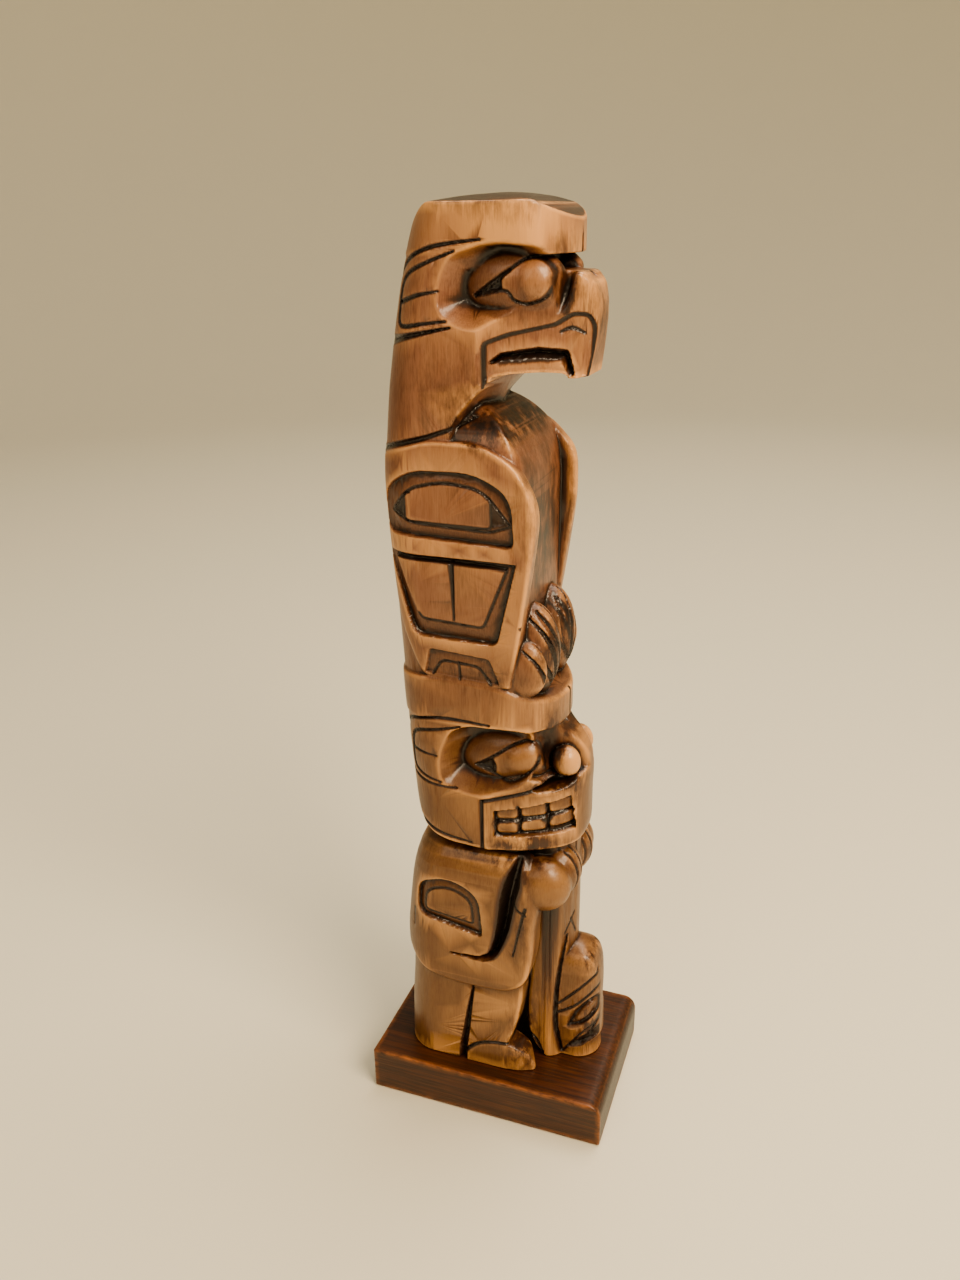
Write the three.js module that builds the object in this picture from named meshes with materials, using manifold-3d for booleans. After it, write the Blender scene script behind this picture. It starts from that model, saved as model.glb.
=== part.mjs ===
/* A carved souvenir totem pole: a thunderbird over a bear that holds a standing board, with a small
   head at its foot, cut from one block of wood and set on a plinth board.
   Millimetres, +Z up, the figures look along -Y, the origin is the middle of the plinth's underside. */
import * as THREE from 'three';
import Module from 'manifold-3d';
import { mergeVertices } from 'three/addons/utils/BufferGeometryUtils.js';

const wasm = await Module();
wasm.setup();

// ---- Driving dimensions -----------------------------------------------------------------------
const PLINTH = { width: 66, depth: 96, thickness: 19, nose: 5.5, edge: 0.8 };
const BASE = PLINTH.thickness; // the pole stands on the plinth
const POLE_TOP = 343;
const HALF = { neck: 25.2, brow: 25.3, body: 24.6, wing: 27, bear: 26, arm: 26.6, leg: 25.6, core: 17 };
const BACK_ROUND = 13; // radius of the two rounded back corners
const FAR = 60; // reaches past the wood on every side

// The back of the pole in side view, as height and distance behind the middle.
const BACK_LINE = [
  [19, 37], [43, 36], [60, 35.6], [74, 36.6], [92, 34.6], [129, 29.8], [162, 32.4], [178, 34],
  [215, 35.4], [250, 37.8], [263, 37.8], [283, 35.2], [304, 31.8], [320, 29], [330, 26], [343, 22],
];

// ---- Solids -----------------------------------------------------------------------------------
function solid(geometry) {
  let mesh = geometry.index ? geometry : mergeVertices(geometry);
  mesh = mesh.clone();
  mesh.deleteAttribute('normal');
  mesh.deleteAttribute('uv');
  mesh = mergeVertices(mesh, 1e-4);
  const vertProperties = new Float32Array(mesh.attributes.position.array);
  const triVerts = new Uint32Array(mesh.index.array);
  if (signedVolume(vertProperties, triVerts) < 0) flip(triVerts);
  return new wasm.Manifold(new wasm.Mesh({ numProp: 3, vertProperties, triVerts }));
}

function signedVolume(points, triangles) {
  const [a, b, c] = [new THREE.Vector3(), new THREE.Vector3(), new THREE.Vector3()];
  let volume = 0;
  for (let i = 0; i < triangles.length; i += 3) {
    a.fromArray(points, 3 * triangles[i]);
    b.fromArray(points, 3 * triangles[i + 1]);
    c.fromArray(points, 3 * triangles[i + 2]);
    volume += a.dot(b.cross(c)) / 6;
  }
  return volume;
}

function flip(triangles) {
  for (let i = 0; i < triangles.length; i += 3) {
    [triangles[i], triangles[i + 1]] = [triangles[i + 1], triangles[i]];
  }
}

function mirrored(shape) {
  const mesh = shape.getMesh();
  const vertProperties = new Float32Array(mesh.vertProperties);
  for (let i = 0; i < vertProperties.length; i += mesh.numProp) vertProperties[i] *= -1;
  const triVerts = new Uint32Array(mesh.triVerts);
  flip(triVerts);
  return new wasm.Manifold(new wasm.Mesh({ numProp: mesh.numProp, vertProperties, triVerts }));
}

const join = (...shapes) => shapes.reduce((all, next) => all.add(next));
const common = (...shapes) => shapes.reduce((all, next) => all.intersect(next));
const bothSides = (shape) => shape.add(mirrored(shape));

// ---- Outlines ---------------------------------------------------------------------------------
// Softens the corners of a closed outline. A corner may carry its own radius as a third number.
function rounded(corners, radius, steps = 3) {
  const points = [];
  corners.forEach((corner, i) => {
    const here = new THREE.Vector2(corner[0], corner[1]);
    const before = corners.at(i - 1);
    const after = corners[(i + 1) % corners.length];
    const back = new THREE.Vector2(before[0], before[1]).sub(here);
    const ahead = new THREE.Vector2(after[0], after[1]).sub(here);
    const cut = Math.min(corner[2] ?? radius, 0.45 * back.length(), 0.45 * ahead.length());
    const start = back.setLength(cut).add(here);
    const end = ahead.setLength(cut).add(here);
    if (cut < 0.05) points.push([here.x, here.y]);
    else new THREE.QuadraticBezierCurve(start, here, end).getPoints(steps)
      .forEach((p) => points.push([p.x, p.y]));
  });
  return points;
}

// Moves each point of a closed outline towards the inside by a distance.
function inset(outline, distance) {
  const area = THREE.ShapeUtils.area(outline.map(([x, y]) => ({ x, y })));
  const side = Math.sign(area);
  return outline.map(([x, y], i) => {
    const [bx, by] = outline.at(i - 1);
    const [ax, ay] = outline[(i + 1) % outline.length];
    const along = new THREE.Vector2(ax - bx, ay - by).normalize();
    return [x - side * along.y * distance, y + side * along.x * distance];
  });
}

const symmetric = (half) => [...half, ...half.map(([x, y]) => [-x, y]).reverse()];

// ---- Prisms along each axis ---------------------------------------------------------------------
function prism(outline, length) {
  const shape = new THREE.Shape(outline.map(([x, y]) => new THREE.Vector2(x, y)));
  return new THREE.ExtrudeGeometry(shape, { depth: length, bevelEnabled: false, curveSegments: 1 });
}

// Outline in side view (y, z), seen from the side and running across the pole.
function acrossPole(outline, x0 = -FAR, x1 = FAR) {
  const axes = new THREE.Matrix4().set(0, 0, 1, x0, 1, 0, 0, 0, 0, 1, 0, 0, 0, 0, 0, 1);
  return solid(prism(outline, x1 - x0).applyMatrix4(axes));
}

// Outline in front view (x, z), running from the back to the front.
function throughPole(outline, yBack = FAR, yFront = -FAR) {
  const axes = new THREE.Matrix4().set(1, 0, 0, 0, 0, 0, -1, yBack, 0, 1, 0, 0, 0, 0, 0, 1);
  return solid(prism(outline, yBack - yFront).applyMatrix4(axes));
}

// Outline in plan (x, y), running upwards.
function upPole(outline, z0 = 0, z1 = POLE_TOP + FAR) {
  return solid(prism(outline, z1 - z0).translate(0, 0, z0));
}

// ---- Lofts ------------------------------------------------------------------------------------
// Joins rings with equal numbers of points. Each end is closed by a fan about its middle.
function loft(rings, closed = false) {
  const count = rings[0].length;
  const points = rings.flat();
  const index = [];
  const spans = closed ? rings.length : rings.length - 1;
  for (let r = 0; r < spans; r += 1) {
    const low = r * count;
    const high = ((r + 1) % rings.length) * count;
    for (let i = 0; i < count; i += 1) {
      const j = (i + 1) % count;
      index.push(low + i, low + j, high + j, low + i, high + j, high + i);
    }
  }
  if (!closed) {
    const top = (rings.length - 1) * count;
    const middle = (ring) => ring.reduce((sum, p) => sum.add(p), new THREE.Vector3()).divideScalar(count);
    points.push(middle(rings[0]), middle(rings.at(-1)));
    for (let i = 0; i < count; i += 1) {
      const j = (i + 1) % count;
      index.push(points.length - 2, j, i, points.length - 1, top + i, top + j);
    }
  }
  const geometry = new THREE.BufferGeometry();
  geometry.setAttribute('position', new THREE.Float32BufferAttribute(points.flatMap((p) => p.toArray()), 3));
  geometry.setIndex(index);
  return solid(geometry);
}

// A column with rounded corners whose back follows the back line.
// Each level is [z, half width, front, front radius, distance kept inside the back line].
function column(levels) {
  const rings = levels.map(([z, half, front, frontRound, inside = 0]) => {
    const back = between(BACK_LINE, z) - inside;
    const corners = [[half, front, frontRound], [half, back], [-half, back], [-half, front, frontRound]];
    return rounded(corners, BACK_ROUND, 3).map(([x, y]) => new THREE.Vector3(x, y, z));
  });
  return loft(rings);
}

// Reads a list of [position, value] pairs at a position.
function between(pairs, position) {
  const last = pairs.findIndex(([p]) => p >= position);
  if (last <= 0) return last === 0 ? pairs[0][1] : pairs.at(-1)[1];
  const [[p0, v0], [p1, v1]] = [pairs[last - 1], pairs[last]];
  return v0 + ((v1 - v0) * (position - p0)) / (p1 - p0);
}

// ---- Carving on a side face -----------------------------------------------------------------------
// A face is the plan curve of the right side, from back to front, as [y, x] with y falling.
function faceAt(face, y) {
  const ascending = face.map(([fy, fx]) => [-fy, fx]);
  const x = between(ascending, -y);
  const slope = (between(ascending, -y + 1) - between(ascending, -y - 1)) / 2;
  const outward = new THREE.Vector2(-1, -slope).normalize();
  return { x, outward };
}

function onFace(face, [y, z], lift) {
  const { x, outward } = faceAt(face, y);
  return new THREE.Vector3(x + outward.x * lift, y + outward.y * lift, z);
}

// A block with a side view outline that reaches from above the face to a depth under it.
function pocket(outline, face, depth, slope = 0.6, above = 3) {
  const outer = inset(outline, -slope * (above / depth)).map((p) => onFace(face, p, above));
  const inner = inset(outline, slope).map((p) => onFace(face, p, -depth));
  return loft([outer, inner]);
}

// Everything of a side view outline that lies outside a plan curve drawn inwards by a depth.
function sunk(outline, plan, depth) {
  return acrossPole(outline, -FAR, -1).subtract(upPole(inset(plan, depth)));
}

// A raised field: its top lies at the given lift over the face.
function plateau(outline, face, lift, root = 6, slope = 0.5) {
  const outer = inset(outline, slope).map((p) => onFace(face, p, lift));
  const inner = outline.map((p) => onFace(face, p, -root));
  return loft([outer, inner]);
}

// A V-shaped trench along a side view path. It narrows to its ends unless it is closed.
function trench(path, face, width, depth, closed = false) {
  const above = 1;
  const rings = path.map((p, i) => {
    const before = closed ? path.at(i - 1) : path[Math.max(i - 1, 0)];
    const after = closed ? path[(i + 1) % path.length] : path[Math.min(i + 1, path.length - 1)];
    const along = new THREE.Vector2(after[0] - before[0], after[1] - before[1]).normalize();
    const isEnd = !closed && (i === 0 || i === path.length - 1);
    const reach = (isEnd ? 0.15 : 0.5) * width * (1 + above / depth);
    const left = [p[0] - along.y * reach, p[1] + along.x * reach];
    const right = [p[0] + along.y * reach, p[1] - along.x * reach];
    const sink = isEnd ? 0.3 * depth : depth;
    return [onFace(face, left, above), onFace(face, right, above), onFace(face, p, -sink)];
  });
  return loft(rings, closed);
}

function ellipsoid([x, y, z], [rx, ry, rz], around = 18, up = 12) {
  return solid(new THREE.SphereGeometry(1, around, up).scale(rx, ry, rz).translate(x, y, z));
}

// ---- Thunderbird: head and beak -----------------------------------------------------------------
const BEAK_PLAN = symmetric([[FAR, FAR], [FAR, 0], [24.5, 0], [20, -10], [9.5, -30], [6.8, -32.6], [2, -34]]);
const BEAK_FACE = [[40, -24.8], [0, -24.5], [-10, -20], [-30, -9.5], [-32.6, -7], [-34, -2]];

function birdHead() {
  const mass = column([
    [255, HALF.neck, -36, 1, 1.2], [270, HALF.neck, -36, 1, 0], [286, 25, -36, 1], [304, 24.8, -36, 1],
    [327.5, 24.7, -36, 1, 0.4],
  ]);
  const profile = acrossPole([
    [45, 255], [45, 327.5], [-16, 327.5], [-16, 322.4], [-20.8, 321], [-27.8, 319.9], [-31.9, 316.7],
    [-33.2, 310.3], [-32.4, 302.8], [-30.3, 293.6], [-28.3, 287.8], [-25.8, 288.6], [-23.8, 290.8],
    [-16.7, 291.4], [-8.6, 291.2], [-2, 289], [1, 284], [2, 278], [5, 268], [9, 255],
  ]);
  const plan = upPole(BEAK_PLAN);
  const ridgeSide = throughPole([[5, 322], [8, 318.5], [12.5, 313.5], [22, 309], [40, 309], [40, 332], [5, 332]], -18);
  return common(mass, profile, plan).subtract(bothSides(ridgeSide));
}

function birdBrow() {
  const band = column([[324.5, 25, -25.8, 2], [330, HALF.brow, -26, 2], [POLE_TOP + 1, HALF.brow, -26.2, 2, -2]]);
  const profile = acrossPole([
    [40, 320], [27, 327], [26, 330], [23.3, 335.5], [17.8, 340.6], [7.8, 342.4], [-5.2, 343],
    [-14.8, 341], [-26.4, 335.8], [-30, 330], [-30, 320],
  ]);
  const crown = throughPole(symmetric([[30, 300], [30, 334], [24.5, 339.6], [14, 341.9], [5, 343]]));
  const parting = throughPole([[0, 318], [3.2, 324], [0, 332], [-3.2, 324]], -19);
  return common(band, profile, crown).subtract(parting);
}

// Eye socket: the rim in side view and a floor that lies deeper towards the front.
const BIRD_SOCKET = rounded([
  [12.4, 309.5], [12, 317], [8, 325.5], [-4, 330], [-18, 328], [-32, 325.4, 0], [-32, 314, 0],
  [-23, 311], [-12, 306.8], [5, 304.8],
], 4, 2);

function birdSocket() {
  const rim = BIRD_SOCKET.map(([y, z]) => new THREE.Vector3(-29, y, z));
  const floor = BIRD_SOCKET.map(([y, z]) => new THREE.Vector3(-17, -8 + (y + 8) * 0.62, 324 + (z - 324) * 0.66));
  return loft([rim, floor]);
}

function birdEye() {
  const lids = ellipsoid([-13, -9.5, 316.2], [9.2, 14.5, 9.4], 16, 10);
  const ball = ellipsoid([-15.5, -14.2, 317.6], [7.6, 6.4, 6.4], 16, 10);
  return lids.add(ball);
}

const BIRD_LIPS = rounded([
  [-1.1, 288], [-1.1, 300.4], [-8, 302.9], [-21, 305.5], [-25.7, 308.5], [-30, 308.2], [-31.6, 305],
  [-31.2, 296], [-29, 286],
], 1.2, 1);
const BIRD_MOUTH = [[-3, 295], [-6, 296.8], [-16, 297.2], [-23, 296.2], [-25, 291]];

function birdHeadCuts() {
  return bothSides(join(
    birdSocket(),
    sunk(BIRD_LIPS, BEAK_PLAN, 0.8),
    trench(BIRD_MOUTH, BEAK_FACE, 3.2, 3.4),
  ));
}

// ---- Thunderbird: body, wings and feet -------------------------------------------------------------
const WING_SIDE = [[60, -HALF.wing], [-60, -HALF.wing]];
const WING = rounded([
  [46, 262, 0], [30, 267], [18, 270.3], [0, 269.5], [-13, 262.5], [-19.2, 250], [-17.4, 233],
  [-12.9, 204], [-9.4, 184, 0], [20, 180, 0], [24.2, 190.6], [31.4, 209], [35.2, 231], [46, 252, 0],
], 5, 2);

function birdBody() {
  const mass = column([
    [184, 24.4, -13, 6], [215, HALF.body, -13.4, 6], [250, HALF.body, -14, 6],
    [263, HALF.body, -14, 6], [284, HALF.body, -10, 8],
  ]);
  const breast = acrossPole([
    [45, 180], [45, 265.4], [20, 271], [10, 276], [4, 283.6], [-1, 282], [-6, 279], [-10.5, 273], [-13.4, 264],
    [-14, 250], [-13, 180],
  ]);
  return common(mass, breast);
}

function wings() {
  const limits = column([
    [180, HALF.wing, -19.3, 4, 0], [215, HALF.wing, -19.3, 4, 0], [250, HALF.wing, -19.3, 4, 0],
    [275, HALF.wing, -19.3, 4, 0],
  ]);
  return bothSides(common(acrossPole(WING, -FAR, -20.5), limits));
}

function tailStrip() {
  const side = rounded([
    [40, 187.6], [40, 176], [34.6, 171.6], [31.5, 182], [29.3, 187.6],
  ], 1.5, 2);
  const limits = column([[165, 23.4, 0, 2, -0.4], [178, 23.7, 0, 2, -0.4], [195, 24, 0, 2, -0.4]]);
  return common(acrossPole(side), limits);
}

const WING_OVOID = rounded([
  [34.6, 239, 5], [34.4, 254, 7], [24, 260.9, 8], [2, 261.2, 8], [-10.6, 254.5, 8], [-11.6, 237, 3],
], 5, 3);
const WING_OVOID_LID = rounded([
  [31.5, 246.6, 0], [25, 254.6, 4], [13, 257.6, 6], [-1, 255.6, 5], [-10.2, 244.4, 0], [-3.4, 242, 2],
  [24, 243.2, 3],
], 3, 2);
const WING_FEATHERS = rounded([
  [34.2, 232.6, 0], [24.4, 203.6, 4], [-5.4, 202.6, 3], [-12.4, 232, 0],
], 3, 3);
const WING_FEATHER_FIELD = rounded([
  [30.6, 230.8, 0], [21.6, 210, 2], [-0.6, 208.6, 2], [-9, 229.8, 0],
], 2, 2);
const WING_LOWER = rounded([[23.4, 186, 0], [19.4, 199.2, 1.5], [-2.4, 197.4, 1.5], [-7.4, 184, 0]], 1, 2);
const WING_LOWER_FIELD = rounded([[19.4, 184, 0], [15.2, 194.8, 2], [1.8, 193.8, 2], [-4, 184, 0]], 1, 2);

function wingCuts() {
  const depth = 2.1;
  return bothSides(join(
    pocket(WING_OVOID, WING_SIDE, depth, 1),
    pocket(WING_FEATHERS, WING_SIDE, depth, 1),
    pocket(WING_LOWER, WING_SIDE, 1.4, 0.6),
  ));
}

function wingFields() {
  return bothSides(join(
    plateau(WING_OVOID_LID, WING_SIDE, -0.5, 4, 1.4),
    plateau(WING_FEATHER_FIELD, WING_SIDE, -0.2, 4, 0.8),
    plateau(WING_LOWER_FIELD, WING_SIDE, -0.7, 4, 0.8),
  ));
}

const TOES = { count: 4, first: 5, pitch: 4.5, radius: [3, 9.6, 16] };

function birdFeet() {
  const toes = Array.from({ length: TOES.count }, (_, i) => {
    const rise = Math.sin((Math.PI * (i + 1)) / (TOES.count + 1));
    const radius = [TOES.radius[0], TOES.radius[1] - 1.5 * (1 - rise), TOES.radius[2] - 2 * (1 - rise)];
    return ellipsoid([-(TOES.first + TOES.pitch * i), -13, 197 + rise], radius, 10, 10);
  });
  return bothSides(join(...toes));
}

// ---- Bear: head -------------------------------------------------------------------------------
const MUZZLE_PLAN = symmetric([[FAR, FAR], [FAR, 0], [25.9, 0], [22.5, -14], [15.5, -26], [9, -31], [2, -33.4]]);

function bearHead() {
  const mass = column([
    [120, HALF.bear, -35, 1], [129, HALF.bear, -35, 1], [162, HALF.bear, -35, 1], [172.5, 25.8, -35, 1, 0.6],
  ]);
  const profile = acrossPole([
    [45, 172.5], [45, 140], [31.2, 139], [29.6, 134.3], [26.4, 128.6], [21.4, 124.6], [14.3, 122.5],
    [2, 121.7], [-31.5, 122.6], [-33.2, 130], [-33.4, 152], [-32, 160], [-29.5, 166.4], [-25.5, 170.4],
    [-18, 172.5],
  ]);
  return common(mass, profile, upPole(MUZZLE_PLAN));
}

function bearBrow() {
  const mass = column([[160, HALF.bear, -23, 14], [171, HALF.bear, -22.8, 14], [178, 25.9, -22.6, 14], [191, 25.4, -22, 14]]);
  const profile = acrossPole(rounded([
    [45, 171.2, 0], [45, 187, 0], [30, 187.6, 5], [12, 188.4], [-6, 187], [-20, 180.6], [-24, 177, 2],
    [-24, 166, 2], [-18, 168], [-10, 171], [4, 171.2, 0],
  ], 3, 2));
  return common(mass, profile);
}

const BEAR_SOCKET = rounded([
  [16.4, 146.6], [17, 157], [13, 167.5], [6, 171.4], [-10, 171.6], [-19, 169.4], [-34, 168, 0],
  [-34, 160, 0], [-24, 151.6], [-14, 147.6], [-4, 145.4], [6, 144.6],
], 4, 2);

function bearSocket() {
  const rim = BEAR_SOCKET.map(([y, z]) => new THREE.Vector3(-30, y, z));
  const floor = BEAR_SOCKET.map(([y, z]) => new THREE.Vector3(-16.5, -10 + (y + 10) * 0.62, 164 + (z - 164) * 0.66));
  return loft([rim, floor]);
}

function bearEye() {
  const lids = ellipsoid([-13.5, -6.5, 157], [9, 14, 9], 16, 10);
  const ball = ellipsoid([-15, -10, 157.6], [7.4, 8.4, 6.6], 16, 10);
  return lids.add(ball);
}

function bearNose() {
  const bridge = ellipsoid([0, -22, 160.5], [10.5, 11.5, 9.5], 18, 10);
  const nostrils = bothSides(ellipsoid([-8.6, -26.6, 156.4], [5, 5.6, 5.2], 14, 8));
  return bridge.add(nostrils);
}

const BEAR_LIPS = rounded([
  [0.8, 118], [0.8, 141.6], [-11, 144.6], [-24, 148.4], [-33, 149.6, 0], [-38, 149, 0], [-38, 118, 0],
], 1, 1);
const BEAR_TEETH = rounded([
  [-2.8, 127.6], [-2.8, 138.2], [-20, 140.8], [-27.6, 141.6], [-29, 126.4],
], 0.8, 1);

function bearHeadCuts() {
  return bothSides(join(
    bearSocket(),
    sunk(BEAR_LIPS, MUZZLE_PLAN, 0.6),
    sunk(BEAR_TEETH, MUZZLE_PLAN, 2.4),
  ));
}

// ---- Bear: body -------------------------------------------------------------------------------
const ARM_SIDE = [[60, -HALF.arm], [-60, -HALF.arm]];
const LEG_SIDE = [[60, -HALF.leg], [-60, -HALF.leg]];

function core() {
  return column([
    [BASE, HALF.core, -11, 3, 5], [60, HALF.core, -11, 3, 5], [122, 20, -13.7, 6, 5], [190, 20, -11, 6, 5],
    [262, 20, -2, 6, 5],
  ]);
}

function arms() {
  const mass = column([
    [59, HALF.arm - 1, -17, 5], [66, HALF.arm, -17.6, 5], [74, HALF.arm, -17.6, 5], [92, HALF.arm, -17.6, 5],
    [110, 26.2, -16.8, 5], [123, 24.6, -14, 7, 0.8],
  ]);
  const side = acrossPole(rounded([
    [45, 70.6, 0], [35.6, 70.4, 2], [28, 62.6], [12, 59], [-10, 59.4], [-15.6, 66], [-17.6, 86],
    [-20, 98, 0], [-14, 123, 0], [45, 123, 0],
  ], 4, 2), -FAR, -15.5);
  return bothSides(common(mass, side));
}

const ARM_GROOVE = [
  [-11, 121], [-9.4, 106], [-6, 92], [-2.4, 78.5], [0.6, 73.6], [7, 72.8], [14.3, 72.6],
];

function armCuts() {
  return bothSides(join(
    trench(ARM_GROOVE, ARM_SIDE, 6, 5.5),
    pocket(ARM_OVOID, ARM_SIDE, 1.6, 1),
  ));
}

const ARM_OVOID = rounded([
  [28.6, 87.4, 4], [28, 101.6, 6], [15.6, 106, 8], [3, 100.8, 6], [1.4, 81.8, 2.5],
], 5, 3);
const ARM_OVOID_FIELD = rounded([
  [25.6, 89.6, 2.5], [24.6, 99, 4], [15, 102, 6], [5.8, 98, 4], [4.8, 86.8, 1.5],
], 3, 3);

function legs() {
  const mass = column([[BASE, 25.2, -14, 4], [30, HALF.leg, -14, 4], [43, HALF.leg, -14, 4], [64, HALF.leg - 0.6, -14, 4, 0.8]]);
  const side = acrossPole(rounded([
    [45, BASE, 0], [-4, BASE, 0], [-6, 34, 3], [-10, 42], [-14, 55], [-14, 64, 0], [45, 64, 0],
  ], 2, 2), -FAR, -15.5);
  const floor = upPole(symmetric([[FAR, -FAR], [FAR, FAR]]), BASE, BASE + FAR);
  const foot = ellipsoid([-19, -5, BASE], [8, 14.2, 11.6]).intersect(floor);
  return bothSides(common(mass, side).add(foot));
}

const SHIN_CREASE = [[6.6, 55], [7.6, 46], [9, 34], [10.6, 24], [11, 17]];

function legCuts() {
  return bothSides(trench(SHIN_CREASE, LEG_SIDE, 2.6, 3));
}

function paws() {
  const palm = ellipsoid([-17, -20.5, 107.6], [8.6, 10, 10.2], 20, 12);
  const fingers = ellipsoid([-8.5, -24, 108.5], [9, 7.4, 9.6], 18, 12);
  return bothSides(palm.add(fingers));
}

// ---- The board that the bear holds, and the small head in front of it ---------------------------------
function board() {
  const plan = upPole(symmetric([[14, -8], [14, -18.4], [8, -25.6], [2.5, -29.4]]), BASE, 122);
  const side = acrossPole(rounded([
    [-9, 122, 0], [-29, 122, 0], [-29.6, 92], [-28.6, 50], [-31, 26], [-31.4, BASE, 0], [-24, BASE, 0],
    [-19.4, 20.9], [-13.1, 28], [-12.9, 46], [-15.6, 64], [-17, 88], [-9, 96],
  ], 3, 2));
  return common(plan, side);
}

function smallHead() {
  const levels = [
    [BASE, 9.8, -40], [26, 10.2, -39.4], [28, 10.6, -40.6], [40, 11, -40.4], [52, 11, -40.4],
    [58, 10.6, -39.6], [64.7, 9.4, -37.6], [68.8, 7, -34.6], [70.8, 3.6, -31.4],
  ];
  const rings = levels.map(([z, half, front]) => {
    const sides = 8;
    const ring = [[half, -20], [-half, -20]];
    for (let i = 0; i <= sides; i += 1) {
      const turn = (Math.PI * i) / sides;
      const depth = -26 - front;
      ring.push([-half * Math.cos(turn), -26 - depth * Math.sin(turn)]);
    }
    return ring.map(([x, y]) => new THREE.Vector3(x, y, z));
  });
  return loft(rings);
}

const SMALL_PLAN = symmetric([[10.8, -15], [10.8, -26], [9.8, -31], [7, -36], [4, -39], [1, -40.4]]);
const SMALL_EYE = rounded([[-28.4, 33], [-28.6, 41], [-35, 48], [-38.6, 48.6], [-38, 40], [-33, 35]], 2, 2);
const SMALL_MOUTH = rounded([[-27.6, 24], [-34, 29.6], [-40.6, 36], [-40.6, 31], [-34, 25]], 1, 1);

function smallHeadCuts() {
  return bothSides(sunk(SMALL_EYE, SMALL_PLAN, 1.8).add(sunk(SMALL_MOUTH, SMALL_PLAN, 1.8)));
}

// ---- The carved figure --------------------------------------------------------------------------
function carvedFigure() {
  const wingsAndBody = join(birdBody(), wings()).subtract(wingCuts()).add(wingFields());
  const bird = join(birdHead(), birdBrow()).subtract(birdHeadCuts()).add(bothSides(birdEye()));
  const bear = join(bearHead(), bearBrow()).subtract(bearHeadCuts()).add(bothSides(bearEye())).add(bearNose());
  const field = plateau(ARM_OVOID_FIELD, ARM_SIDE, -0.4, 4, 0.6);
  const limbs = join(arms(), legs()).subtract(armCuts()).subtract(legCuts()).add(bothSides(field));
  const small = smallHead().subtract(smallHeadCuts());
  const ground = upPole(symmetric([[FAR, -FAR], [FAR, FAR]]), BASE);
  return join(core(), wingsAndBody, tailStrip(), bird, birdFeet(), bear, limbs, board(), paws(), small)
    .intersect(ground);
}

// ---- The plinth ---------------------------------------------------------------------------------
function plinthBoard() {
  const { width, depth, thickness, nose, edge } = PLINTH;
  const side = rounded([
    [-depth / 2, 0, 2], [depth / 2, 0, edge], [depth / 2, thickness, edge], [-depth / 2, thickness, nose],
  ], edge, 4);
  const plan = rounded(symmetric([[width / 2, -depth / 2], [width / 2, depth / 2]]), edge, 2);
  return common(acrossPole(side, -width / 2, width / 2), upPole(plan, 0, thickness));
}

// ---- Meshes -----------------------------------------------------------------------------------
function meshOf(shape, name, colour, roughness) {
  const { vertProperties, triVerts } = shape.getMesh();
  const geometry = new THREE.BufferGeometry();
  geometry.setAttribute('position', new THREE.BufferAttribute(vertProperties, 3));
  geometry.setIndex(new THREE.BufferAttribute(triVerts, 1));
  geometry.computeVertexNormals();
  const material = new THREE.MeshStandardMaterial({ color: colour, roughness, metalness: 0 });
  const mesh = new THREE.Mesh(geometry, material);
  mesh.name = name;
  return mesh;
}

const group = new THREE.Group();
group.name = 'totem_pole';
group.add(meshOf(plinthBoard(), 'plinth_board', '#6e3a1c', 0.45));
group.add(meshOf(carvedFigure(), 'carved_figure', '#b0723f', 0.42));

export default group;
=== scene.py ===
"""A carved wooden totem pole on its plinth: a thunderbird over a bear, hand cut, stained and varnished.

The pole is carved as a wood carver works. A blank is sawn from side, plan and front outlines, the big
forms are rounded, and the fine cuts are then sunk into its faces. Lengths are in millimetres inside the
carving functions and in metres in Blender."""

import math

import bpy
import numpy as np
import openvdb
from mathutils import Matrix, Vector


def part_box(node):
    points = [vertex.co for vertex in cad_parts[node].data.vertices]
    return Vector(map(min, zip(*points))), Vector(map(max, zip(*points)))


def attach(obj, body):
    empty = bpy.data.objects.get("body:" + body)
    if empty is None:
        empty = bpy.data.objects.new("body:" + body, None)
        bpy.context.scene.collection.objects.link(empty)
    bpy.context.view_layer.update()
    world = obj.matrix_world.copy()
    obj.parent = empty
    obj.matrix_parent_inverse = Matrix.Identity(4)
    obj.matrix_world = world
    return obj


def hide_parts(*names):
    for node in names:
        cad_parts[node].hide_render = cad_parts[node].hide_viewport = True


bl_info = {
    "name": "Carved totem pole",
    "version": (1, 0, 0),
    "blender": (4, 5, 0),
    "location": "View3D > Sidebar > Totem pole",
    "description": "Makes a small carved totem pole with its plinth and a studio",
    "category": "Object",
}

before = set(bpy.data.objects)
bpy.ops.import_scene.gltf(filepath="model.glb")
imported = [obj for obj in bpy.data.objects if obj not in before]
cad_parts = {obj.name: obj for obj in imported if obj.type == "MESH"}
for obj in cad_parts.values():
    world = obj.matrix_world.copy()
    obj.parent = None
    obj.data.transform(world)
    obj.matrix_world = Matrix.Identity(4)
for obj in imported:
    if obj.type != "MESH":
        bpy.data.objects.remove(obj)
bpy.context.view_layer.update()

MM = 0.001
PLINTH_LOW, PLINTH_HIGH = (np.array(corner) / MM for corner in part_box("plinth_board"))
FIGURE_LOW, FIGURE_HIGH = (np.array(corner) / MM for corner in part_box("carved_figure"))
BASE = float(FIGURE_LOW[2])
TOP = float(FIGURE_HIGH[2])

# Half widths of the pole's storeys, from its widest.
WIDEST = float(FIGURE_HIGH[0])
HALF = {
    "neck": WIDEST - 1.8, "brow": WIDEST - 1.7, "body": WIDEST - 2.4, "wing": WIDEST,
    "bear": WIDEST - 1.0, "arm": WIDEST - 0.4, "leg": WIDEST - 1.4, "core": 17.0,
}
# The radius of the back's corners, and a distance that is past every part of the block.
BACK_ROUND = 13.0
FAR = 60.0

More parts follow.
